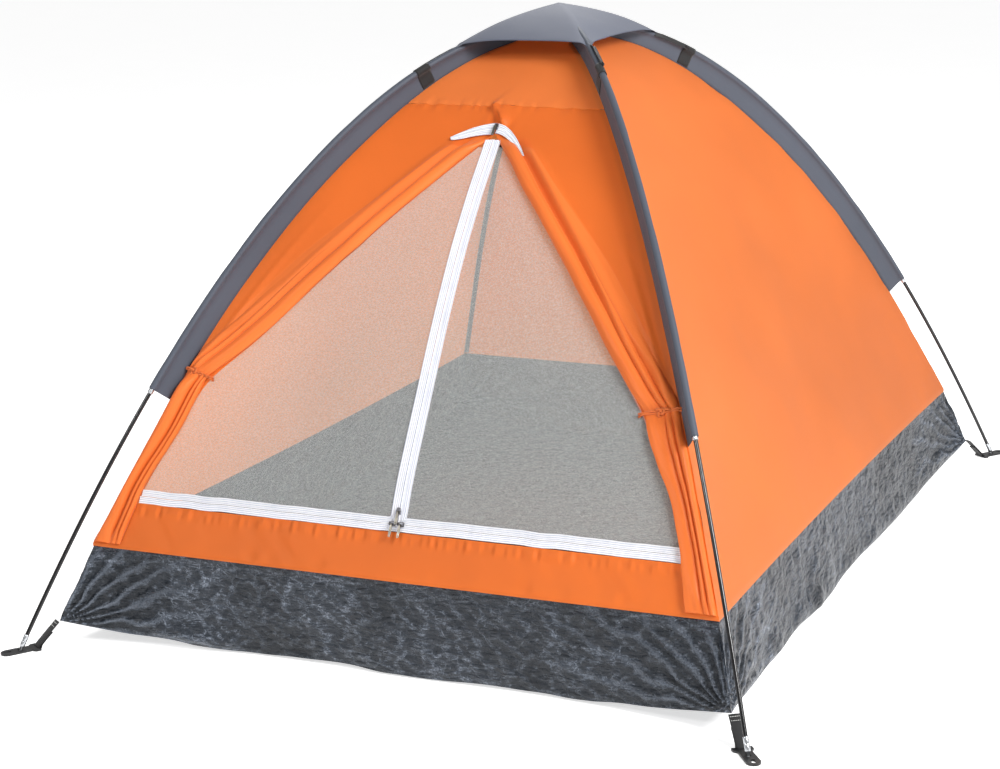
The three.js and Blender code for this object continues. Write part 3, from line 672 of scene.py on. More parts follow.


# The walls are all one orange cloth; the pale orange, with SIDE_LIT and a larger share let through, is a
# lighter copy that paints the brighter light on the side walls and header.
ORANGE = hex_linear("#ea742c")
ORANGE_PAINTED_LIT = hex_linear("#f28440")
ORANGE_LIT = hex_linear("#ffa044")
SIDE_LIT = hex_linear("#ffaa5e")
ORANGE_FOLD = hex_linear("#ee7b35")
GREY = hex_linear("#5f6473")
SLEEVE_GREY = hex_linear("#4d525d")
MAT = {
    "orange_front": cloth("orange_polyester_front", ORANGE, "xz", see_through=0.32, glow=ORANGE_LIT),
    "orange_side_lit": cloth("orange_polyester_side_lit", ORANGE_PAINTED_LIT, "yz", see_through=0.42, glow=SIDE_LIT),
    "orange_fold": cloth("orange_polyester_folded", ORANGE_FOLD, "xz", see_through=0.22, rough=0.42),
    "orange_header_lit": cloth("orange_polyester_header_lit", ORANGE_PAINTED_LIT, "xz", see_through=0.34, glow=ORANGE_LIT),
    "grey": cloth("grey_polyester", GREY, "xz", shade=0.05, see_through=0.12, rough=0.6, uv=True),
    "sleeve": cloth("sleeve_polyester", SLEEVE_GREY, "xz", shade=0.05, see_through=0.08, rough=0.55, uv=True),
    "tarp": tarpaulin("tarpaulin", hex_linear("#404854")),
    "net": netting("insect_netting", hex_linear("#edf4f4"), 0.76),
    "net_roof": netting("roof_netting", hex_linear("#e9e9e6"), 0.74, "xy"),
    "zip": zip_tape("zip_tape_weave", hex_linear("#f6f7fa"), hex_linear("#bcc4d8")),
    "webbing": ribbed("black_webbing", hex_linear("#0d0d0f"), 180.0, 0.75),
    "tie": ribbed("orange_tie", hex_linear("#d4651c"), 220.0, 0.6),
    "thread": ribbed("white_thread", hex_linear("#e8e8e4"), 500.0, 0.6, 0.0002),
    "elastic": ribbed("elastic_cover", hex_linear("#e3e0d8"), 500.0, 0.6, 0.0003, uv=False),
    "black_elastic": ribbed("black_elastic", hex_linear("#0b0b0d"), 320.0, 0.6, 0.0003),
    "rod": rod("fibreglass_rod", hex_linear("#08080a")),
    "steel": metal("plated_steel", hex_linear("#cfd2d6")),
    "dark_steel": metal("zinc_slider", hex_linear("#85858a"), 0.3),
    "pull_metal": metal("zinc_pull", hex_linear("#8f8a80"), 0.4),
    "plastic": moulded("moulded_nylon", hex_linear("#151517")),
}

# ------------------------------------------------------------------ poles, sockets and end caps
SECTION_COUNT = 6
ROD_END, JOINT_GAP, CHAMFER, ROD_R, ROD_TIP_R = 12.6, 0.6, 0.8, 4.0, 3.2
# (distance, radius) corners: a socket about its joint, and an end cap from the pole's end.
SOCKET = (
    (-30, 4.1), (-30, 5.0), (-29.2, 5.3), (-22, 5.3), (-21.2, 4.9), (-20, 4.9),
    (-19.2, 5.3), (28.6, 5.3), (29.6, 5.0), (30, 4.1),
)
END_CAP = (
    (0.8, 0.2), (0.8, 1.6), (1.6, 2.3), (8.4, 2.4), (8.5, 4.3), (9.3, 5.0), (20, 5.0),
    (20.8, 4.75), (22.4, 4.75), (23.2, 5.0), (32.6, 5.0), (33.8, 4.6), (34, 4.05),
)


def pole_tube(name, letter, profile, sides=18):
    """Round body about the pole from a list of (distance, radius) corners, both ends closed."""
    s, r = [], []
    for (s0, r0), (s1, r1) in zip(profile, profile[1:]):
        steps = max(1, int(abs(s1 - s0) / 14))
        share = np.linspace(0, 1, steps + 1)[:-1]
        s.extend(s0 + (s1 - s0) * share)
        r.extend(r0 + (r1 - r0) * share)
    s.append(profile[-1][0])
    r.append(profile[-1][1])
    centres, normals, _, side = on_arch("front_left" if letter == "a" else "front_right", np.array(s))
    return tube(name, centres, normals, side, np.array(r), sides)


for letter in "ab":
    whole = 2 * ARCH[letter].length
    part = whole / SECTION_COUNT
    for k in range(SECTION_COUNT):
        lo = ROD_END if k == 0 else k * part + JOINT_GAP
        hi = whole - ROD_END if k == SECTION_COUNT - 1 else (k + 1) * part
        profile = [(lo, ROD_TIP_R), (lo + CHAMFER, ROD_R), (hi - CHAMFER, ROD_R), (hi, ROD_TIP_R)]
        piece = pole_tube(f"pole_{letter}_rod_{k + 1}", letter, profile)
        place(piece, MAT["rod"], nodes=[f"pole_{letter}_section_{k + 1}"])
        if k < SECTION_COUNT - 1:
            socket = pole_tube(f"pole_{letter}_socket_{k + 1}", letter, [(hi + a, b) for a, b in SOCKET])
            place(socket, MAT["steel"])
    for end, shape in (("front", END_CAP), ("back", [(whole - a, b) for a, b in reversed(END_CAP)])):
        cap = pole_tube(f"pole_{letter}_tip_{end}", letter, shape, 24)
        place(cap, MAT["steel"], nodes=[f"pole_{letter}_end_cap_{end}"])
    dress(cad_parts[f"pole_{letter}_shock_cord"], MAT["elastic"])


# ------------------------------------------------------------------ sleeves, seam tapes and bands
def seam_reach(corner, s):
    """Distance from a pole's centre to the seam along the pole's own normal, at each s."""
    arch = ARCH[CORNERS[corner][0]]
    p, _, n = arch.at(s)
    reach = np.linspace(8, 90, 400)
    r = p[:, None, 0] + n[:, None, 0] * reach
    z = p[:, None, 1] + n[:, None, 1] * reach
    inside = r < seam_r(z)
    return reach[np.argmax(inside, axis=1)]


def sleeve_profile(reach, swell, grow=0.0):
    """Teardrop section from the seam round the pole and back, as (inward, sideways)."""
    radius = 6.9 + swell + grow
    turn = np.linspace(0.55, 2 * math.pi - 0.55, 23)
    ring = np.stack([radius * np.cos(turn), radius * np.sin(turn)], -1)
    neck = []
    for share in (0.0, 0.25, 0.5, 0.75, 0.92):
        inward = reach - (reach - 11) * share
        half = 0.7 + grow + 0.5 * math.sin(math.pi * share) + 2.4 * max(0.0, share - 0.7)
        neck.append((inward, half))
    before = np.array(neck)
    after = np.array([(a, -b) for a, b in reversed(neck)])
    return np.vstack([before, ring, after])


for index, corner in enumerate(CORNERS):
    arch = ARCH[CORNERS[corner][0]]
    last = arch.length - 100
    s = np.concatenate([[SLEEVE_START, SLEEVE_START + 1], np.linspace(SLEEVE_START + 8, last, 150)])
    centres, normals, _, side = on_arch(corner, s)
    reach = seam_reach(corner, s)
    rows = []
    for k, here in enumerate(s):
        swell = 0.5 * float(noise(here / 45, index, 11)) - 0.2
        section = sleeve_profile(reach[k] + 2.0, swell)
        sway = 1.3 * float(noise(here / 70, index + 9.5, 12)) + 0.5 * float(noise(here / 21, index, 13))
        flat = np.clip((section[:, 0] - 6) / 34, 0, 1)
        bulge = np.sin(math.pi * flat) * sway
        rows.append(centres[k] + section[:, :1] * normals[k] + (section[:, 1] + bulge)[:, None] * side)
    rows = np.array(rows)
    piece = grid_object(f"sleeve_{corner}", rows)
    thicken(piece, 0.0004, 1.0)
    place(piece, MAT["sleeve"], nodes=[f"pole_sleeve_{corner}"])

    # The grey binding that covers the seam inside the tent.
    z = seam_heights(TUB_TOP + 4, VENT_Z - 4, 120)
    out, side = corner_frame(corner)
    ridge = seam_r(z)[:, None] * out + z[:, None] * np.array([0, 0, 1.0]) - out * 4.5 + np.array([0, 0, -2.0])
    _, sx, sy = CORNERS[corner]
    reach_in = np.linspace(-9, 9, 7)
    wings = np.stack([-sx * np.clip(-reach_in, 0, None), -sy * np.clip(reach_in, 0, None), 0 * reach_in], -1)
    binding = ridge[:, None, :] + wings[None, :, :]
    piece = grid_object(f"seam_binding_{corner}", binding)
    place(piece, MAT["grey"])

    # Webbing band round the sleeve.
    s = np.linspace(1379, 1411, 9)
    centres, normals, _, side = on_arch(corner, s)
    reach = seam_reach(corner, s)
    rows = []
    for k in range(len(s)):
        section = sleeve_profile(reach[k] - 2.0, 0.6, 0.9)
        rows.append(centres[k] + section[:, :1] * normals[k] + section[:, 1:] * side)
    piece = grid_object(f"band_{corner}", np.array(rows))
    thicken(piece, 0.0011, 1.0)
    place(piece, MAT["webbing"], nodes=[f"sleeve_band_{corner}"])


# ------------------------------------------------------------------ side and back walls
def wall_creases(u, z, seed, width):
    """Soft drift of a stretched wall: long folds towards its corners, in millimetres."""
    low = smoothstep(z, 187, 290)
    edge = 1 - np.abs(u / width) ** 6
    long_folds = 2.2 * fractal(u / 420 + z / 900, z / 260 - u / 700, seed, 2)
    diagonal = 1.1 * noise((u + 0.8 * z) / 130, (u - z) / 620, seed + 5)
    near_seam = 1.5 * np.exp(-(((np.abs(u) - width) / 60) ** 2)) * noise(u / 400, z / 34, seed + 8)
    near_foot = 1.6 * np.exp(-(((z - 212) / 22) ** 2)) * noise(u / 30, z / 200, seed + 9)
    sag = foot_sag(u / width) * (1 - smoothstep(z, 187, 450))
    return ((long_folds + diagonal) * edge + near_seam + near_foot) * low - sag


for face, seed in (("right", 21), ("left", 31), ("back", 41)):
    z = np.concatenate([[TUB_TOP - 6], seam_heights(TUB_TOP, VENT_Z, 129)])
    t = np.linspace(-1, 1, 190 if face != "back" else 150)
    T, Z = np.meshgrid(t, z)
    half = (UY if face != "back" else UX) * seam_r(Z)
    shift = wall_creases(T * half, Z, seed, half)
    points = wall_point(face, T, Z, shift)
    piece = grid_object(f"canopy_{face}", points)
    # The side walls take the painted-lit copy of the orange cloth; the back wall takes the plain one.
    key = "orange_front" if face == "back" else "orange_side_lit"
    place(piece, MAT[key], nodes=[f"canopy_{face}_wall"])

u, v = np.meshgrid(np.linspace(-1, 1, 40), np.linspace(-1, 1, 50))
dome = 3 * (1 - u * u) * (1 - v * v)
points = np.stack([u * UX * VENT_R, v * UY * VENT_R, VENT_Z + dome], -1)
piece = grid_object("roof_vent", points)
place(piece, MAT["net_roof"], nodes=["roof_vent_mesh"])


# ------------------------------------------------------------------ front wall
def gauss(x, centre, width):
    return np.exp(-(((x - centre) / width) ** 2))


def arc(w, lo, hi):
    """Round roll between two edges, 0 outside and 1 at its crown."""
    middle, half = (lo + hi) / 2, np.maximum((hi - lo) / 2, 0.1)
    return np.sqrt(np.clip(1 - ((w - middle) / half) ** 2, 0, 1))


def front_shift(x, z):
    """How far the front cloth stands off its smooth wall, in millimetres."""
    x, z = np.broadcast_arrays(np.asarray(x, float), np.asarray(z, float))
    edge = UX * seam_r(z)
    w = np.abs(x) - opening(z, np.where(x > 0, 1, -1))
    side = np.where(x > 0, 1.25, 0.8)
    shift = 1.3 * fractal(x / 210, z / 240, 51, 2) * smoothstep(z, 190, 300)
    above = smoothstep(z, 560, 700) * (1 - smoothstep(z, 880, 930))
    shift += side * above * (7.0 * gauss(w, 60, 15) - 2.0 * gauss(w, 38, 8))
    toward_tie = smoothstep(z, 880, 520) * smoothstep(z, 480, 520)
    shift += side * toward_tie * 3.5 * gauss(edge - np.abs(x), 20 + 0.1 * (z - TIE_Z), 9)
    # Puckers of the seam under the header and along the sill's zip.
    pucker = noise(x / 9, z / 60, 52)
    shift += 1.8 * pucker * gauss(z, HEADER_Z, 9) * smoothstep(edge - np.abs(x), 0, 20)
    shift -= 1.1 * gauss(z, HEADER_Z, 3)
    under_zip = np.where(np.abs(x) < DOOR_HALF, 1.0, 0.0) * gauss(z, 253, 9)
    shift += 3.2 * noise(x / 8, z / 40, 53) * under_zip
    shift += 1.8 * noise(x / 24, z / 90, 54) * gauss(z, 196, 12)
    diagonal = noise((x + 0.9 * z) / 26, (x - z) / 210, 55)
    shift += 1.6 * diagonal * gauss(z, 225, 28) * smoothstep(np.abs(x), 60, 260)
    # The little tuck gathered under the header, over the door's top.
    along = (x + 30) * 0.78 - (z - HEADER_Z) * 0.63
    across = (x + 30) * 0.63 + (z - HEADER_Z) * 0.78
    tuck = smoothstep(along, -4, 10) * (1 - smoothstep(along, 48, 66))
    shift += tuck * 13.0 * np.exp(-np.clip(across, 0, None) / 14) * smoothstep(across, -1.5, 1.5)
    fan = smoothstep(HEADER_Z - z, 4, 30) * (1 - smoothstep(HEADER_Z - z, 40, 60))
    shift += 3.2 * fan * np.cos((x - 5) / 5.5) * gauss(x, 0, 26)
    return shift


def front_cloth(x, z, extra=0.0):
    return front_point(x, z, front_shift(x, z) + extra)


def side_row(z, sign, columns):
    share = np.linspace(0, 1, columns)
    inner, outer = float(opening(z, sign)), UX * float(seam_r(z))
    return sign * (inner + (outer - inner) * share)


BESIDE, OVER = 56, 360
upper = np.linspace(HEADER_Z, DOOR_APEX, 14)
middle_z = np.linspace(DOOR_APEX, DOOR_SILL, 190)
lower = np.linspace(DOOR_SILL, TUB_TOP - 5, 24)
front_parts = []
for sign in (-1, 1):
    grid = np.array([front_cloth(side_row(z, sign, BESIDE), z) for z in middle_z])
    front_parts.append(grid)
left_x, right_x = side_row(DOOR_APEX, -1, BESIDE), side_row(DOOR_APEX, 1, BESIDE)
top_x = np.concatenate([left_x[:0:-1], right_x])
top_share = top_x / (UX * seam_r(DOOR_APEX))
front_parts.append(np.array([front_cloth(top_share * UX * seam_r(z), z) for z in upper]))
over_sill = np.linspace(-DOOR_HALF, DOOR_HALF, OVER)
left_x, right_x = side_row(DOOR_SILL, -1, BESIDE), side_row(DOOR_SILL, 1, BESIDE)
sill_x = np.concatenate([left_x[:0:-1], over_sill, right_x[1:]])
sill_share = sill_x / (UX * seam_r(DOOR_SILL))
front_parts.append(np.array([front_cloth(sill_share * UX * seam_r(z), z) for z in lower]))
front_uvs = [grid.reshape(-1, 3)[:, [0, 2]] for grid in front_parts]
piece = patchwork("canopy_front", front_parts, front_uvs, weld_m=0.00005)
place(piece, MAT["orange_front"], nodes=["canopy_front_wall"])

z = seam_heights(HEADER_Z, VENT_Z, 40)
t = np.linspace(-1, 1, 111)
T, Z = np.meshgrid(t, z)
X = T * UX * seam_r(Z)
points = front_cloth(X, Z, 0.8 * gauss(Z, HEADER_Z, 6))
piece = grid_object("canopy_header", points)
# The header takes the painted-lit copy of the orange cloth.
place(piece, MAT["orange_header_lit"], nodes=["canopy_front_header"])


# ------------------------------------------------------------------ outer door, gathered and tied back
def flap_height(w, z, span, sign):
    """Height of the gathered cloth over the wall at the distance w from the mesh, by level."""
    q = np.clip((z - TIE_Z) / (DOOR_APEX - TIE_Z), 0, 1)
    p = np.clip((TIE_Z - z) / (TIE_Z - 190), 0, 1)
    strong = 1.2 if sign > 0 else 1.05
    roll_end = 34 + 10 * (1 - q) ** 2
    upper_roll = 12.0 * arc(w, 0, roll_end)
    hem_roll = 8.0 * (1 - smoothstep(q, 0.05, 0.4)) * arc(w, -1, 10)
    second = 12.0 * (1 - smoothstep(q, 0.1, 0.62)) * arc(w, roll_end - 3, roll_end + 22 - 6 * (1 - q))
    third = 10.0 * (1 - smoothstep(q, 0.05, 0.45)) * arc(w, roll_end + 15, np.minimum(span, roll_end + 44))
    above = np.maximum(np.maximum(upper_roll, hem_roll), np.maximum(second, third)) * strong
    if sign < 0:
        broad = 17.0 * arc(w, 21 + 4 * p, span) * (1 - 0.2 * p)
        hem = 10.0 * arc(w, 0, 8 + 2 * p)
        inner = 8.0 * arc(w, 8 + 2 * p, 18 + 3 * p)
        below = np.maximum(np.maximum(broad, hem), inner)
    else:
        first, last = span * (0.56 + 0.06 * p), span * (0.76 + 0.05 * p)
        broad = 11.0 * arc(w, -6, first) ** 0.7
        inner = 13.0 * arc(w, first - 1, last)
        below = np.maximum(np.maximum(broad, inner), 13.0 * arc(w, last - 1, span))
    mixed = above + (below - above) * smoothstep(z, TIE_Z + 12, TIE_Z - 12)
    pinch = 1 - 0.5 * gauss(z, TIE_Z, 16)
    top_fade = 1 - smoothstep(z, 890, 926)
    return mixed * pinch * top_fade * (1 - 0.55 * smoothstep(z, 215, 192))


for name, sign, seed in (("left", -1, 61), ("right", 1, 71)):
    zs = np.linspace(DOOR_APEX - 6, 190, 260)
    shares = np.linspace(0, 1, 90)
    W, Z = np.meshgrid(shares, zs)
    inner_edge = opening(np.maximum(Z, DOOR_SILL), sign) + 0.28 * np.clip(DOOR_SILL - Z, 0, None)
    limit = UX * seam_r(Z) - inner_edge - 3
    want = 96 - 30 * smoothstep(Z, 700, 900)
    span = np.minimum(limit, want)
    waver = 2.5 * noise(Z / 60, seed, seed) + 1.2 * noise(Z / 22, seed + 3.5, seed + 1)
    draw = 9.0 * gauss(Z, TIE_Z, 22) + waver * smoothstep(Z, 250, 330) * (1 - smoothstep(Z, 860, 910))
    w = W * span
    x = inner_edge + w + draw * (1 - W)
    height = flap_height(w, Z, span, sign)
    height = height + 0.8 * fractal(w / 14 + Z / 160, Z / 70, seed + 4, 2) * smoothstep(height, 0.5, 4)
    base = front_shift(sign * x, Z)
    lift_off = (1.4 * (1 - smoothstep(W, 0.86, 1.0)) + 0.25) * (1 - smoothstep(Z, 890, 912))
    lift_off = lift_off - 1.2 * smoothstep(Z, 896, 914)
    points = front_point(sign * x, Z, base + lift_off + height)
    # The free edge turns under, so the roll reads as folded cloth.
    under = front_point(sign * (x[:, :1] + np.array([5.0, 2.2])), Z[:, :2], 0.9 + 0.4 * np.array([0.0, 1.0]))
    points = np.concatenate([under, points], 1)
    piece = grid_object(f"outer_door_{name}_cloth", points)
    place(piece, MAT["orange_fold"], nodes=[f"outer_door_{name}"])

    # The tie round the gathered door, with its knot.
    inner = float(opening(TIE_Z, sign))
    outer_x = UX * float(seam_r(TIE_Z))
    shares = np.linspace(0, 1, 26)
    span_w = outer_x - inner + 2
    ww = -2 + shares * span_w
    zz = TIE_Z - 6 + 16 * shares
    height = flap_height(np.clip(ww, 0, None), zz, outer_x - inner - 3, sign)
    crest = np.maximum(height, 2.5) + 2.6 + np.where(shares < 0.06, -4, 0)
    centre = front_point(sign * (inner + ww), zz, crest)
    bits = []
    for offset in (-1.6, 1.9):
        waved = np.stack([0 * ww, 0 * ww, 0.7 * np.sin(ww / 4 + offset)], -1)
        strand = centre + np.array([0, 0, offset]) + waved
        side = np.array([0, 0.45, 0.89])
        _, normal = line_frame(strand, side)
        normal /= np.linalg.norm(normal, axis=1)[:, None]
        bits.append(tube(f"strand{offset}", strand, normal, side, 2.0, 10))
    knot_at = centre[17 if sign < 0 else 13]
    turn = np.linspace(0, 2 * math.pi, 61)
    trefoil = [
        np.sin(turn) + 2 * np.sin(2 * turn),
        -np.sin(3 * turn) * 0.8,
        np.cos(turn) - 2 * np.cos(2 * turn),
    ]
    knot_line = knot_at + np.stack(trefoil, -1) * 2.7 + np.array([0, -2.6, 0])
    tangent, normal = line_frame(knot_line, np.array([0.2, 1.0, 0.1]))
    normal /= np.linalg.norm(normal, axis=1)[:, None]
    binormal = np.cross(tangent, normal)
    ring = np.linspace(0, 2 * math.pi, 10, endpoint=False)[None, :, None]
    around = np.cos(ring) * normal[:, None, :] + np.sin(ring) * binormal[:, None, :]
    body = knot_line[:, None, :] + 2.6 * around
    bits.append(grid_object("knot", body, True))
    piece = join(f"door_tie_{name}_cord", bits)
    place(piece, MAT["tie"], nodes=[f"door_tie_{name}"])

# ------------------------------------------------------------------ mesh doors
for name, sign, seed in (("left", -1, 81), ("right", 1, 91)):
    zs = np.linspace(286, 903, 120)
    shares = np.linspace(0, 1, 60)
    W, Z = np.meshgrid(shares, zs)
    x = 15.2 + (opening(Z, sign) + 3 - 15.2) * W
    wave = 1.6 * fractal(x / 130, Z / 170, seed, 2) * np.sin(math.pi * np.clip(W, 0, 1)) - 0.4
    points = front_point(sign * x, Z, wave)
    piece = grid_object(f"mesh_{name}", points)
    place(piece, MAT["net"], f"mesh_half_{name}", [f"mesh_door_{name}"])


# ------------------------------------------------------------------ zips
def ribbon(name, rows, profile):
    """Tape laid over the front wall: rows of (x, z) ends, profile of (share across, height)."""
    share = np.array([p[0] for p in profile])
    height = np.array([p[1] for p in profile])
    rows = np.array(rows, float)
    xz = rows[:, None, 0, :] * (1 - share)[None, :, None] + rows[:, None, 1, :] * share[None, :, None]
    return grid_object(name, front_point(xz[..., 0], xz[..., 1], height[None, :]))


# Across half a zip, from the coil to the tape's outer edge: coil, channel, stitched ribs, edge.
HALF_ZIP = [
    (0.0, 0.9), (0.02, 1.9), (0.08, 2.4), (0.15, 2.3), (0.20, 1.6), (0.23, 0.9),
    (0.32, 0.9), (0.36, 1.5), (0.42, 1.6), (0.46, 0.9), (0.60, 0.9), (0.64, 1.5),
    (0.70, 1.5), (0.74, 0.9), (0.90, 0.9), (0.93, 1.5), (0.97, 1.4), (1.0, 0.5),
]
for name, sign in (("left", -1), ("right", 1)):
    rows = []
    for z in np.linspace(915, 290, 130):
        drift = 1.0 * float(noise(z / 90, 5, 95))
        rows.append([(sign * 0.3 + drift, z), (sign * 16.4 + drift, z)])
    rows.append([(sign * 0.3, 275.3), (sign * 16.4, 287)])
    for x in np.linspace(24, float(door_edge(281)) - 1, 110):
        lift_z = 0.9 * float(noise(x / 40, 7 * sign, 96))
        rows.append([(sign * x, 275.3 + lift_z), (sign * x, 287 + lift_z)])
    piece = ribbon(f"zip_half_{name}", rows, HALF_ZIP)
    place(piece, MAT["zip"], f"mesh_half_{name}", [f"zip_tape_{name}"])
rows = []
for x in np.linspace(-float(door_edge(270)) + 1, float(door_edge(270)) - 1, 220):
    sign = 1 if x > 0 else -1
    lift_z = 0.9 * float(noise(abs(x) / 40, 7 * sign, 96)) * float(smoothstep(abs(x), 16, 40))
    rows.append([(x, 274.9 + lift_z), (x, 263.2 + lift_z)])
piece = ribbon("zip_half_sill", rows, HALF_ZIP)
place(piece, MAT["zip"], nodes=["zip_tape_sill"])

# The two leaves of the outer door's tape, meeting over the door's top.
LEAF = [
    (0, 3.0), (0.05, 4.2), (0.13, 4.4), (0.2, 3.6), (0.45, 3.5), (0.5, 4.3),
    (0.58, 4.3), (0.63, 3.5), (0.86, 3.5), (0.92, 4.1), (1, 3.0),
]
leaves = []
for sign, reach_x, drop, wide in ((-1, 88, 27, 19), (1, 76, 52, 17)):
    share = np.linspace(0, 1, 40)
    x = sign * (1 + reach_x * share)
    upper_z = DOOR_APEX + 17 - drop * share**1.7
    width = wide * (1 - 0.25 * share) * np.sqrt(np.clip(1 - share**3, 0, 1)) + 0.4
    rows = [[(a, b), (a, b - c)] for a, b, c in zip(x, upper_z, width)]
    leaves.append(ribbon(f"leaf{sign}", rows, LEAF))
piece = join("outer_zip_leaves", leaves)
thicken(piece, 0.0006)
place(piece, MAT["zip"], nodes=["outer_zip_tape"])


def slider_mesh(name, x, z, out, sideways):
    """Zip slider: flanged body with a wedge nose, a saddle and the pull's bridge."""
    bm = bmesh.new()

    def plate(y, depth, length, nose, tail):
        waist = 0.1 * length
        outline = [(-nose, length), (nose, length), (tail, waist)]
        outline += [(tail, -length), (-tail, -length), (-tail, waist)]
        lower = [bm.verts.new((a, y, b)) for a, b in outline]
        upper_ring = [bm.verts.new((a, y + depth, b)) for a, b in outline]
        bm.faces.new(lower)
        bm.faces.new(list(reversed(upper_ring)))
        for k in range(6):
            m = (k + 1) % 6
            bm.faces.new((lower[m], lower[k], upper_ring[k], upper_ring[m]))

    plate(-2.0, 1.1, 6.4, 3.0, 4.4)
    plate(0.9, 1.0, 6.2, 2.9, 4.3)
    plate(-0.9, 1.8, 2.4, 1.0, 1.4)
    bmesh.ops.bevel(bm, geom=list(bm.edges), offset=0.35, segments=2, affect="EDGES", profile=0.5)
    steps = np.linspace(0, math.pi, 13)
    rings = []
    for a in steps:
        middle = Vector((0, -2.0 - 2.0 * math.sin(a), 4.4 * math.cos(a)))
        normal = Vector((0, -math.sin(a), math.cos(a)))
        ring = []
        for b in np.linspace(0, 2 * math.pi, 8, endpoint=False):
            ring.append(bm.verts.new(middle + normal * 0.55 * math.cos(b) + Vector((1, 0, 0)) * math.sin(b)))
        rings.append(ring)
    for a, b in zip(rings, rings[1:]):
        for k in range(8):
            m = (k + 1) % 8
            bm.faces.new((a[k], a[m], b[m], b[k]))
    bm.faces.new(list(reversed(rings[0])))
    bm.faces.new(rings[-1])
    bmesh.ops.recalc_face_normals(bm, faces=bm.faces)
    mesh = bpy.data.meshes.new(name)
    up = Vector(front_point(x, z + 4) - front_point(x, z - 4)).normalized()
    across = Vector((1, 0, 0))
    if sideways:
        across, up = up, -across
    inward = up.cross(across)
    centre = Vector(front_point(x, z, out))
    for vert in bm.verts:
        vert.co = (centre + across * vert.co.x + inward * vert.co.y + up * vert.co.z) * MM
    bm.to_mesh(mesh)
    bm.free()
    for polygon in mesh.polygons:
        polygon.use_smooth = True
    return link(name, mesh)


SLIDERS = (
    ("centre_slider", "centre_zip_slider", 0, 296, 4.4, False),
    ("sill_slider_left", "left_zip_slider", -8.5, 275, 3.4, True),
    ("sill_slider_right", "right_zip_slider", 8.5, 275, 3.4, True),
    ("outer_slider", FRAME_BODY, 0, 935, 6.0, False),
)
for node, body, x, z, out, sideways in SLIDERS:
    piece = slider_mesh(f"{node}_body", x, z, out, sideways)
    place(piece, MAT["dark_steel"], body, [node])
for node in ("centre_pull", "sill_pull_left", "sill_pull_right", "outer_pull"):
    dress(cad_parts[node], MAT["pull_metal"], 0.0003)

# ------------------------------------------------------------------ groundsheet
FLOOR_X, FLOOR_Y, OUT_X, OUT_Y, LIFT = 630.0, 857.0, 40.0, 73.0, 45.0
TUB_IN = TUB_R - 4.5


def floor_point(u, v):
    u, v = np.broadcast_arrays(np.asarray(u, float), np.asarray(v, float))
    free = (1 - u**4) * v**8 + (1 - v**4) * u**8
    x = u * (FLOOR_X + OUT_X * v**4 + 9 * free * noise(v * 5, np.sign(u) * 3.5, 161))
    y = v * (FLOOR_Y + OUT_Y * u**4 + 9 * free * noise(u * 5, np.sign(v) * 7.5, 162))
    wavy = 5 * free * np.clip(0.5 + noise(u * 7 + 2 * v, v * 7 - 2 * u, 163), 0, None)
    return np.stack([x, y, 1.5 + LIFT * u**4 * v**4 + wavy], -1)


def tub_wrinkles(t, h, span, seed):
    """Crinkles of the bathtub's wall by share along and up it, in millimetres, and the share of painted glint
    along the folds that fan from its corners.
    """
    along = t * span / 2
    up = h * 190
    total = 4.5 * (ridged(along / 95, up / 120, seed, 3) - 0.55)
    lit = 0 * total
    total = total + 3.0 * (ridged((along + up) / 42, (up - along) / 60, seed + 4, 2) - 0.55)
    for end in (-1, 1):
        dx = span / 2 - end * along
        rho = np.hypot(dx, up + 6)
        theta = np.arctan2(up + 6, dx + 1e-6)
        warp = 0.35 * noise(rho / 50, theta * 3, seed + 7)
        spokes = np.cos(26 * theta + 5 * warp + end)
        size = 6.0 * np.clip(rho / 45, 0, 1) * np.exp(-rho / 130)
        total = total + size * spokes
        lit = lit + np.clip((spokes - 0.55) * 2.2, 0, 1) * np.exp(-rho / 110)
        total = total + 2.0 * np.exp(-rho / 90) * np.clip(rho / 30, 0, 1) * np.cos(47 * theta + 1.7)
    return total * smoothstep(h, 0.0, 0.08) * (1 - smoothstep(h, 0.74, 0.93)), lit


u, v = np.meshgrid(np.linspace(-1, 1, 90), np.linspace(-1, 1, 120))
floor = floor_point(u, v)
rise = np.clip(ridged(floor[..., 0] / 120, floor[..., 1] / 150, 101, 3) - 0.35, 0, 1)
floor[..., 2] += 1.8 * rise * (1 - (u * u * v * v) ** 2)
tub_parts = [floor]
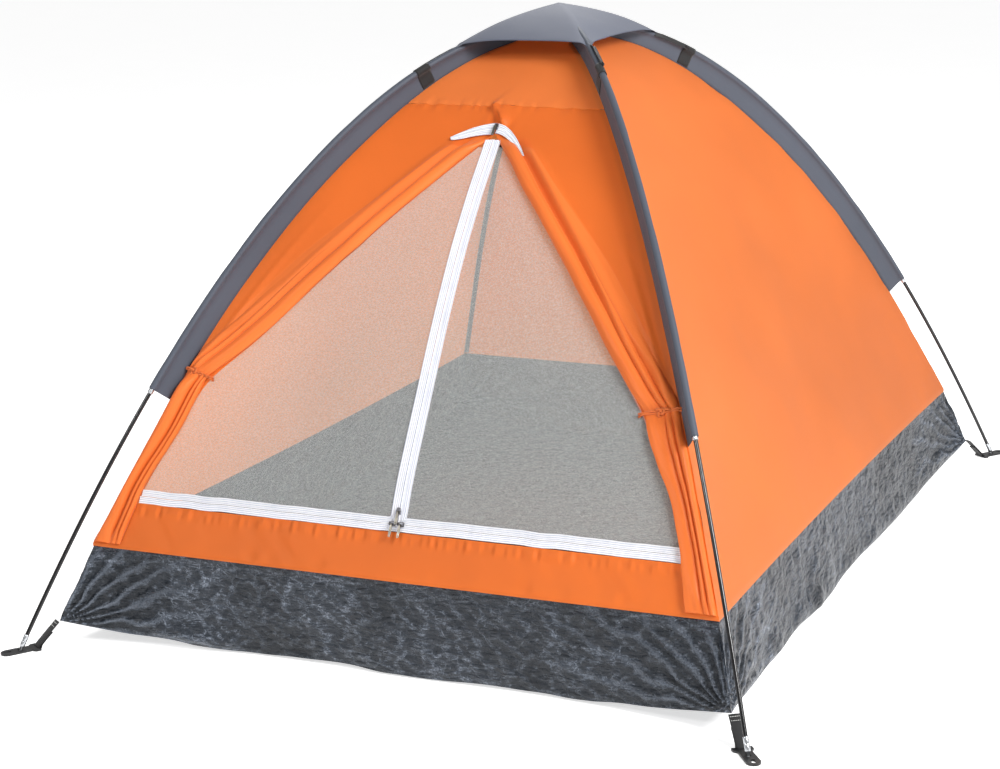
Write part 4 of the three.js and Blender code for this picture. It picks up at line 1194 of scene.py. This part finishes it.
# The floor's crest value of -0.5 keeps the painted glints faint there.
painted_light_crests = [np.full(floor.shape[:2], -0.5)]
for face, seed in (("front", 111), ("back", 121), ("left", 131), ("right", 141)):
    t = np.linspace(-1, 1, 300)
    h = np.linspace(0, 1, 44)
    T, H = np.meshgrid(t, h)
    if face in ("front", "back"):
        sign = -1 if face == "front" else 1
        foot = floor_point(T, sign * np.ones_like(T))
        hang = foot_sag(T) if face == "back" else 0 * T
        head = np.stack([T * UX * TUB_IN, sign * (UY * TUB_IN - hang), TUB_TOP * np.ones_like(T)], -1)
        outward = np.array([0, sign, 0.12])
        span = 2 * UX * TUB_R
    else:
        sign = -1 if face == "left" else 1
        foot = floor_point(sign * np.ones_like(T), T)
        head = np.stack([sign * (UX * TUB_IN - foot_sag(T)), T * UY * TUB_IN, TUB_TOP * np.ones_like(T)], -1)
        outward = np.array([sign, 0, 0.12])
        span = 2 * UY * TUB_R
    points = foot + (head - foot) * H[..., None]
    slack = 7 + 7 * noise(T * span / 170, seed, seed + 11)
    low_roll = slack * np.exp(-((H - 0.1) / 0.12) ** 2) * smoothstep(H, 0, 0.05)
    belly = (5 * np.sin(math.pi * H) + low_roll) * (1 - T**4) * (1 - smoothstep(H, 0.80, 0.95))
    wrinkle, lit = tub_wrinkles(T, H, span, seed)
    points = points + (belly + wrinkle)[..., None] * outward
    tub_parts.append(points)
    # Crest values for the tarpaulin's painted light: the crinkles' bend lightens their crests and gathers
    # glints there, lit paints glint lines along the corner folds, and the sides get fewer.
    around = np.gradient(np.gradient(wrinkle, axis=1), axis=1)
    above = np.gradient(np.gradient(wrinkle, axis=0), axis=0)
    bend = np.clip(-(around + above) * 1.2, -1, 1)
    bend = bend if face in ("front", "back") else 0.4 * bend - 0.3
    painted_light_crests.append(np.where(lit > 0.04, 1 + 1.7 * lit, bend))
crest = np.concatenate([c.ravel() for c in painted_light_crests])
piece = patchwork("bathtub_floor", tub_parts, [grid_uv(g) for g in tub_parts], crest)
place(piece, MAT["tarp"], nodes=["groundsheet"])

# ------------------------------------------------------------------ corner straps and foot tabs
# The strap's run from the corner through the tab's slot and back, as (distance from the middle, height).
STRAP_LINE = (
    (1150.5, 47.0), (1152, 45.0), (1170, 28.5), (1188, 11.5), (1193.6, 5.8), (1195.6, 3.4), (1195.7, 1.0),
    (1193.6, 0.9), (1189.5, 1.4), (1188.0, 4.0), (1186.4, 8.4), (1174, 20.5), (1164.5, 29.3),
)
for corner in CORNERS:
    out, side = corner_frame(corner)
    run = np.concatenate([[0], np.cumsum([math.dist(a, b) for a, b in zip(STRAP_LINE, STRAP_LINE[1:])])])
    fine = np.linspace(0, run[-1], 70)
    r = np.interp(fine, run, [p[0] for p in STRAP_LINE])
    z = np.interp(fine, run, [p[1] for p in STRAP_LINE])
    across = np.linspace(-10, 10, 15)
    curl = 0.35 * np.cos(across / 10 * math.pi)
    points = r[:, None, None] * out + z[:, None, None] * np.array([0, 0, 1.0]) + across[None, :, None] * side
    points = points + curl[None, :, None] * (out * 0.7 + np.array([0, 0, 0.7]))
    strap = grid_object(f"strap_{corner}", points)
    thicken(strap, 0.0014, 0.0)
    place(strap, MAT["webbing"], nodes=[f"corner_strap_{corner}"])

    stitches = []
    for row in (0, 1):
        for k in range(6):
            start = np.array([1154.5 + 5.5 * row, 43.5 - 5.2 * row])
            centre = start[0] * out + np.array([0, 0, start[1]]) + (-7.5 + 3 * k) * side
            centre = centre + (out * 0.7 + np.array([0, 0, 0.7])) * 1.15
            line3 = np.array([centre - side * 1.0, centre, centre + side * 1.0])
            lift_n = np.broadcast_to(out * 0.707 + np.array([0, 0, 0.707]), (3, 3))
            stitches.append(tube(f"st{row}{k}", line3, lift_n, np.cross(side, lift_n[0]), 0.45, 8))
    piece = join(f"strap_stitching_{corner}", stitches)
    place(piece, MAT["thread"])

    dress(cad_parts[f"foot_tab_{corner}"], MAT["plastic"], 0.0009, 3)

# ------------------------------------------------------------------ rain cap
CAP_R, CAP_CLEAR = 240.0, 8.6
top_arch = ARCH["b"]


def cap_height(r):
    order = np.argsort(top_arch.rz[:, 0])
    return np.interp(r, top_arch.rz[order, 0], top_arch.rz[order, 1]) + CAP_CLEAR


SQUARENESS = 14
u, v = np.meshgrid(np.linspace(-1, 1, 90), np.linspace(-1, 1, 90))
near, far = np.minimum(np.abs(u), np.abs(v)), np.maximum(np.abs(u), np.abs(v))
rho = np.minimum((np.abs(u) ** SQUARENESS + np.abs(v) ** SQUARENESS) ** (1 / SQUARENESS), 1.0)
ratio = near / np.maximum(far, 1e-6)
z = cap_height(CAP_R * rho) + 17.0 * (1 - rho) ** 2.0
sag = -1.5 * (1 - ratio**2) * np.sin(math.pi * np.clip(rho, 0, 1) * 0.5) ** 2
drape = 7.0 * smoothstep(near, 0.86, 1.0) * smoothstep(far, 0.9, 1.0)
ripple = 0.7 * fractal(u * 2.2, v * 3.1, 151, 2) * smoothstep(rho, 0.15, 0.5)
peak = 1.2 * np.exp(-((rho / 0.05) ** 2))
nip = (np.abs(u) * np.abs(v)) ** 3 * np.where(u * v > 0, 11.0, 1.0)
z = z - sag - drape - nip + ripple * 0.6 - 0.6 + peak * 0.4
pull_in = 0.012 * (1 - ratio**2)
corner_tip = 1 + 0.055 * (np.abs(u) * np.abs(v)) ** 5
x = u * UX * CAP_R * (1 - pull_in) * corner_tip
y = v * UY * CAP_R * (1 - pull_in) * corner_tip
points = np.stack([x, y, z], -1)
piece = grid_object("rain_cap_cloth", points)
thicken(piece, 0.0005, -1.0)
place(piece, MAT["grey"], "cap", ["rain_cap"])

for corner in CORNERS:
    out, side = corner_frame(corner)
    low, low_n, _, _ = on_arch(corner, np.array([1404.0, 1418.0, 1445.0, 1475.0]))
    lean = {"front_left": -1.5, "front_right": 0.5, "back_right": -1.4, "back_left": 0.5}[corner]
    facing = math.cos(lean), math.sin(lean)
    path = [low[k] - low_n[k] * (10.0 * facing[0]) + side * (10.0 * facing[1]) for k in range(4)]
    drop = 18.5 if CORNERS[corner][0] == "a" else 9.0
    tip = (CAP_R - 6) * out + np.array([0, 0, float(cap_height(CAP_R - 6)) - drop])
    tip = tip + side * 6.0 * facing[1]
    path.append(tip)
    path = np.array(path)
    run = np.concatenate([[0], np.cumsum(np.linalg.norm(np.diff(path, axis=0), axis=1))])
    fine = np.linspace(0, run[-1], 30)
    centres = np.stack([np.interp(fine, run, path[:, k]) for k in range(3)], -1)
    across = np.linspace(-4.5, 4.5, 6)
    flat = low_n[0] * facing[1] + side * facing[0]
    strip = centres[:, None, :] + across[None, :, None] * flat
    strap = grid_object(f"cap_elastic_{corner}", strip)
    thicken(strap, 0.0012, 0.0)
    place(strap, MAT["black_elastic"], "cap")

    # The moulded hook at the elastic's end.
    centre = centres[1]
    along = (centres[3] - centres[0]) / np.linalg.norm(centres[3] - centres[0])
    away = -low_n[0] * facing[0] + side * facing[1]
    turn = np.linspace(-0.2, 1.25 * math.pi, 22)
    bend = [centre - along * (3 + 5.0 * math.sin(a)) + away * (1.3 - 1.5 * math.cos(a)) for a in turn]
    hook_line = np.vstack([[centre + along * 4 + away * 0.2], bend])
    _, normal = line_frame(hook_line, side)
    hook = tube(f"cap_hook_{corner}", hook_line, normal, side, np.linspace(1.7, 1.1, len(hook_line)), 10)
    place(hook, MAT["plastic"], "cap")

# ------------------------------------------------------------------ floor and light
bpy.ops.mesh.primitive_plane_add(size=600, location=(0, 0, -0.0005))
ground = bpy.context.object
ground.name = "studio_floor"
s = Shader("pale_floor")
grain = s.noise(s.coords("Object"), 3.0, 2.0, 0.5)
tint = s.ramp(grain, [(0.3, (0.86, 0.86, 0.86)), (0.7, (0.88, 0.88, 0.88))])
paint = {"Base Color": tint, "Roughness": 0.9, "Emission Color": (1, 1, 1, 1), "Emission Strength": 0.64}
ground.data.materials.append(s.finish(s.node("BsdfPrincipled", paint).outputs[0]))

world = bpy.data.worlds.new("studio")
bpy.context.scene.world = world
world.use_nodes = True
background = world.node_tree.nodes["Background"]
background.inputs["Color"].default_value = (1, 1, 1, 1)
background.inputs["Strength"].default_value = 0.36


def area_light(name, position, target, size, power):
    data = bpy.data.lights.new(name, "AREA")
    data.shape = "RECTANGLE"
    data.size, data.size_y = size
    data.energy = power
    obj = link(name, data)
    obj.location = position
    obj.rotation_euler = (Vector(target) - Vector(position)).to_track_quat("-Z", "Y").to_euler()


area_light("key", (4.4, -2.0, 3.8), (0, 0, 0.4), (2.4, 2.0), 400)
area_light("fill", (-2.2, -4.8, 3.8), (0, 0, 0.5), (1.0, 1.0), 75)
area_light("back", (-1.6, 4.4, 3.8), (0, 0, 0.6), (2.0, 1.6), 130)

scene = bpy.context.scene
scene.view_settings.view_transform = "Standard"
scene.view_settings.look = "None"
scene.view_settings.exposure = 0.0
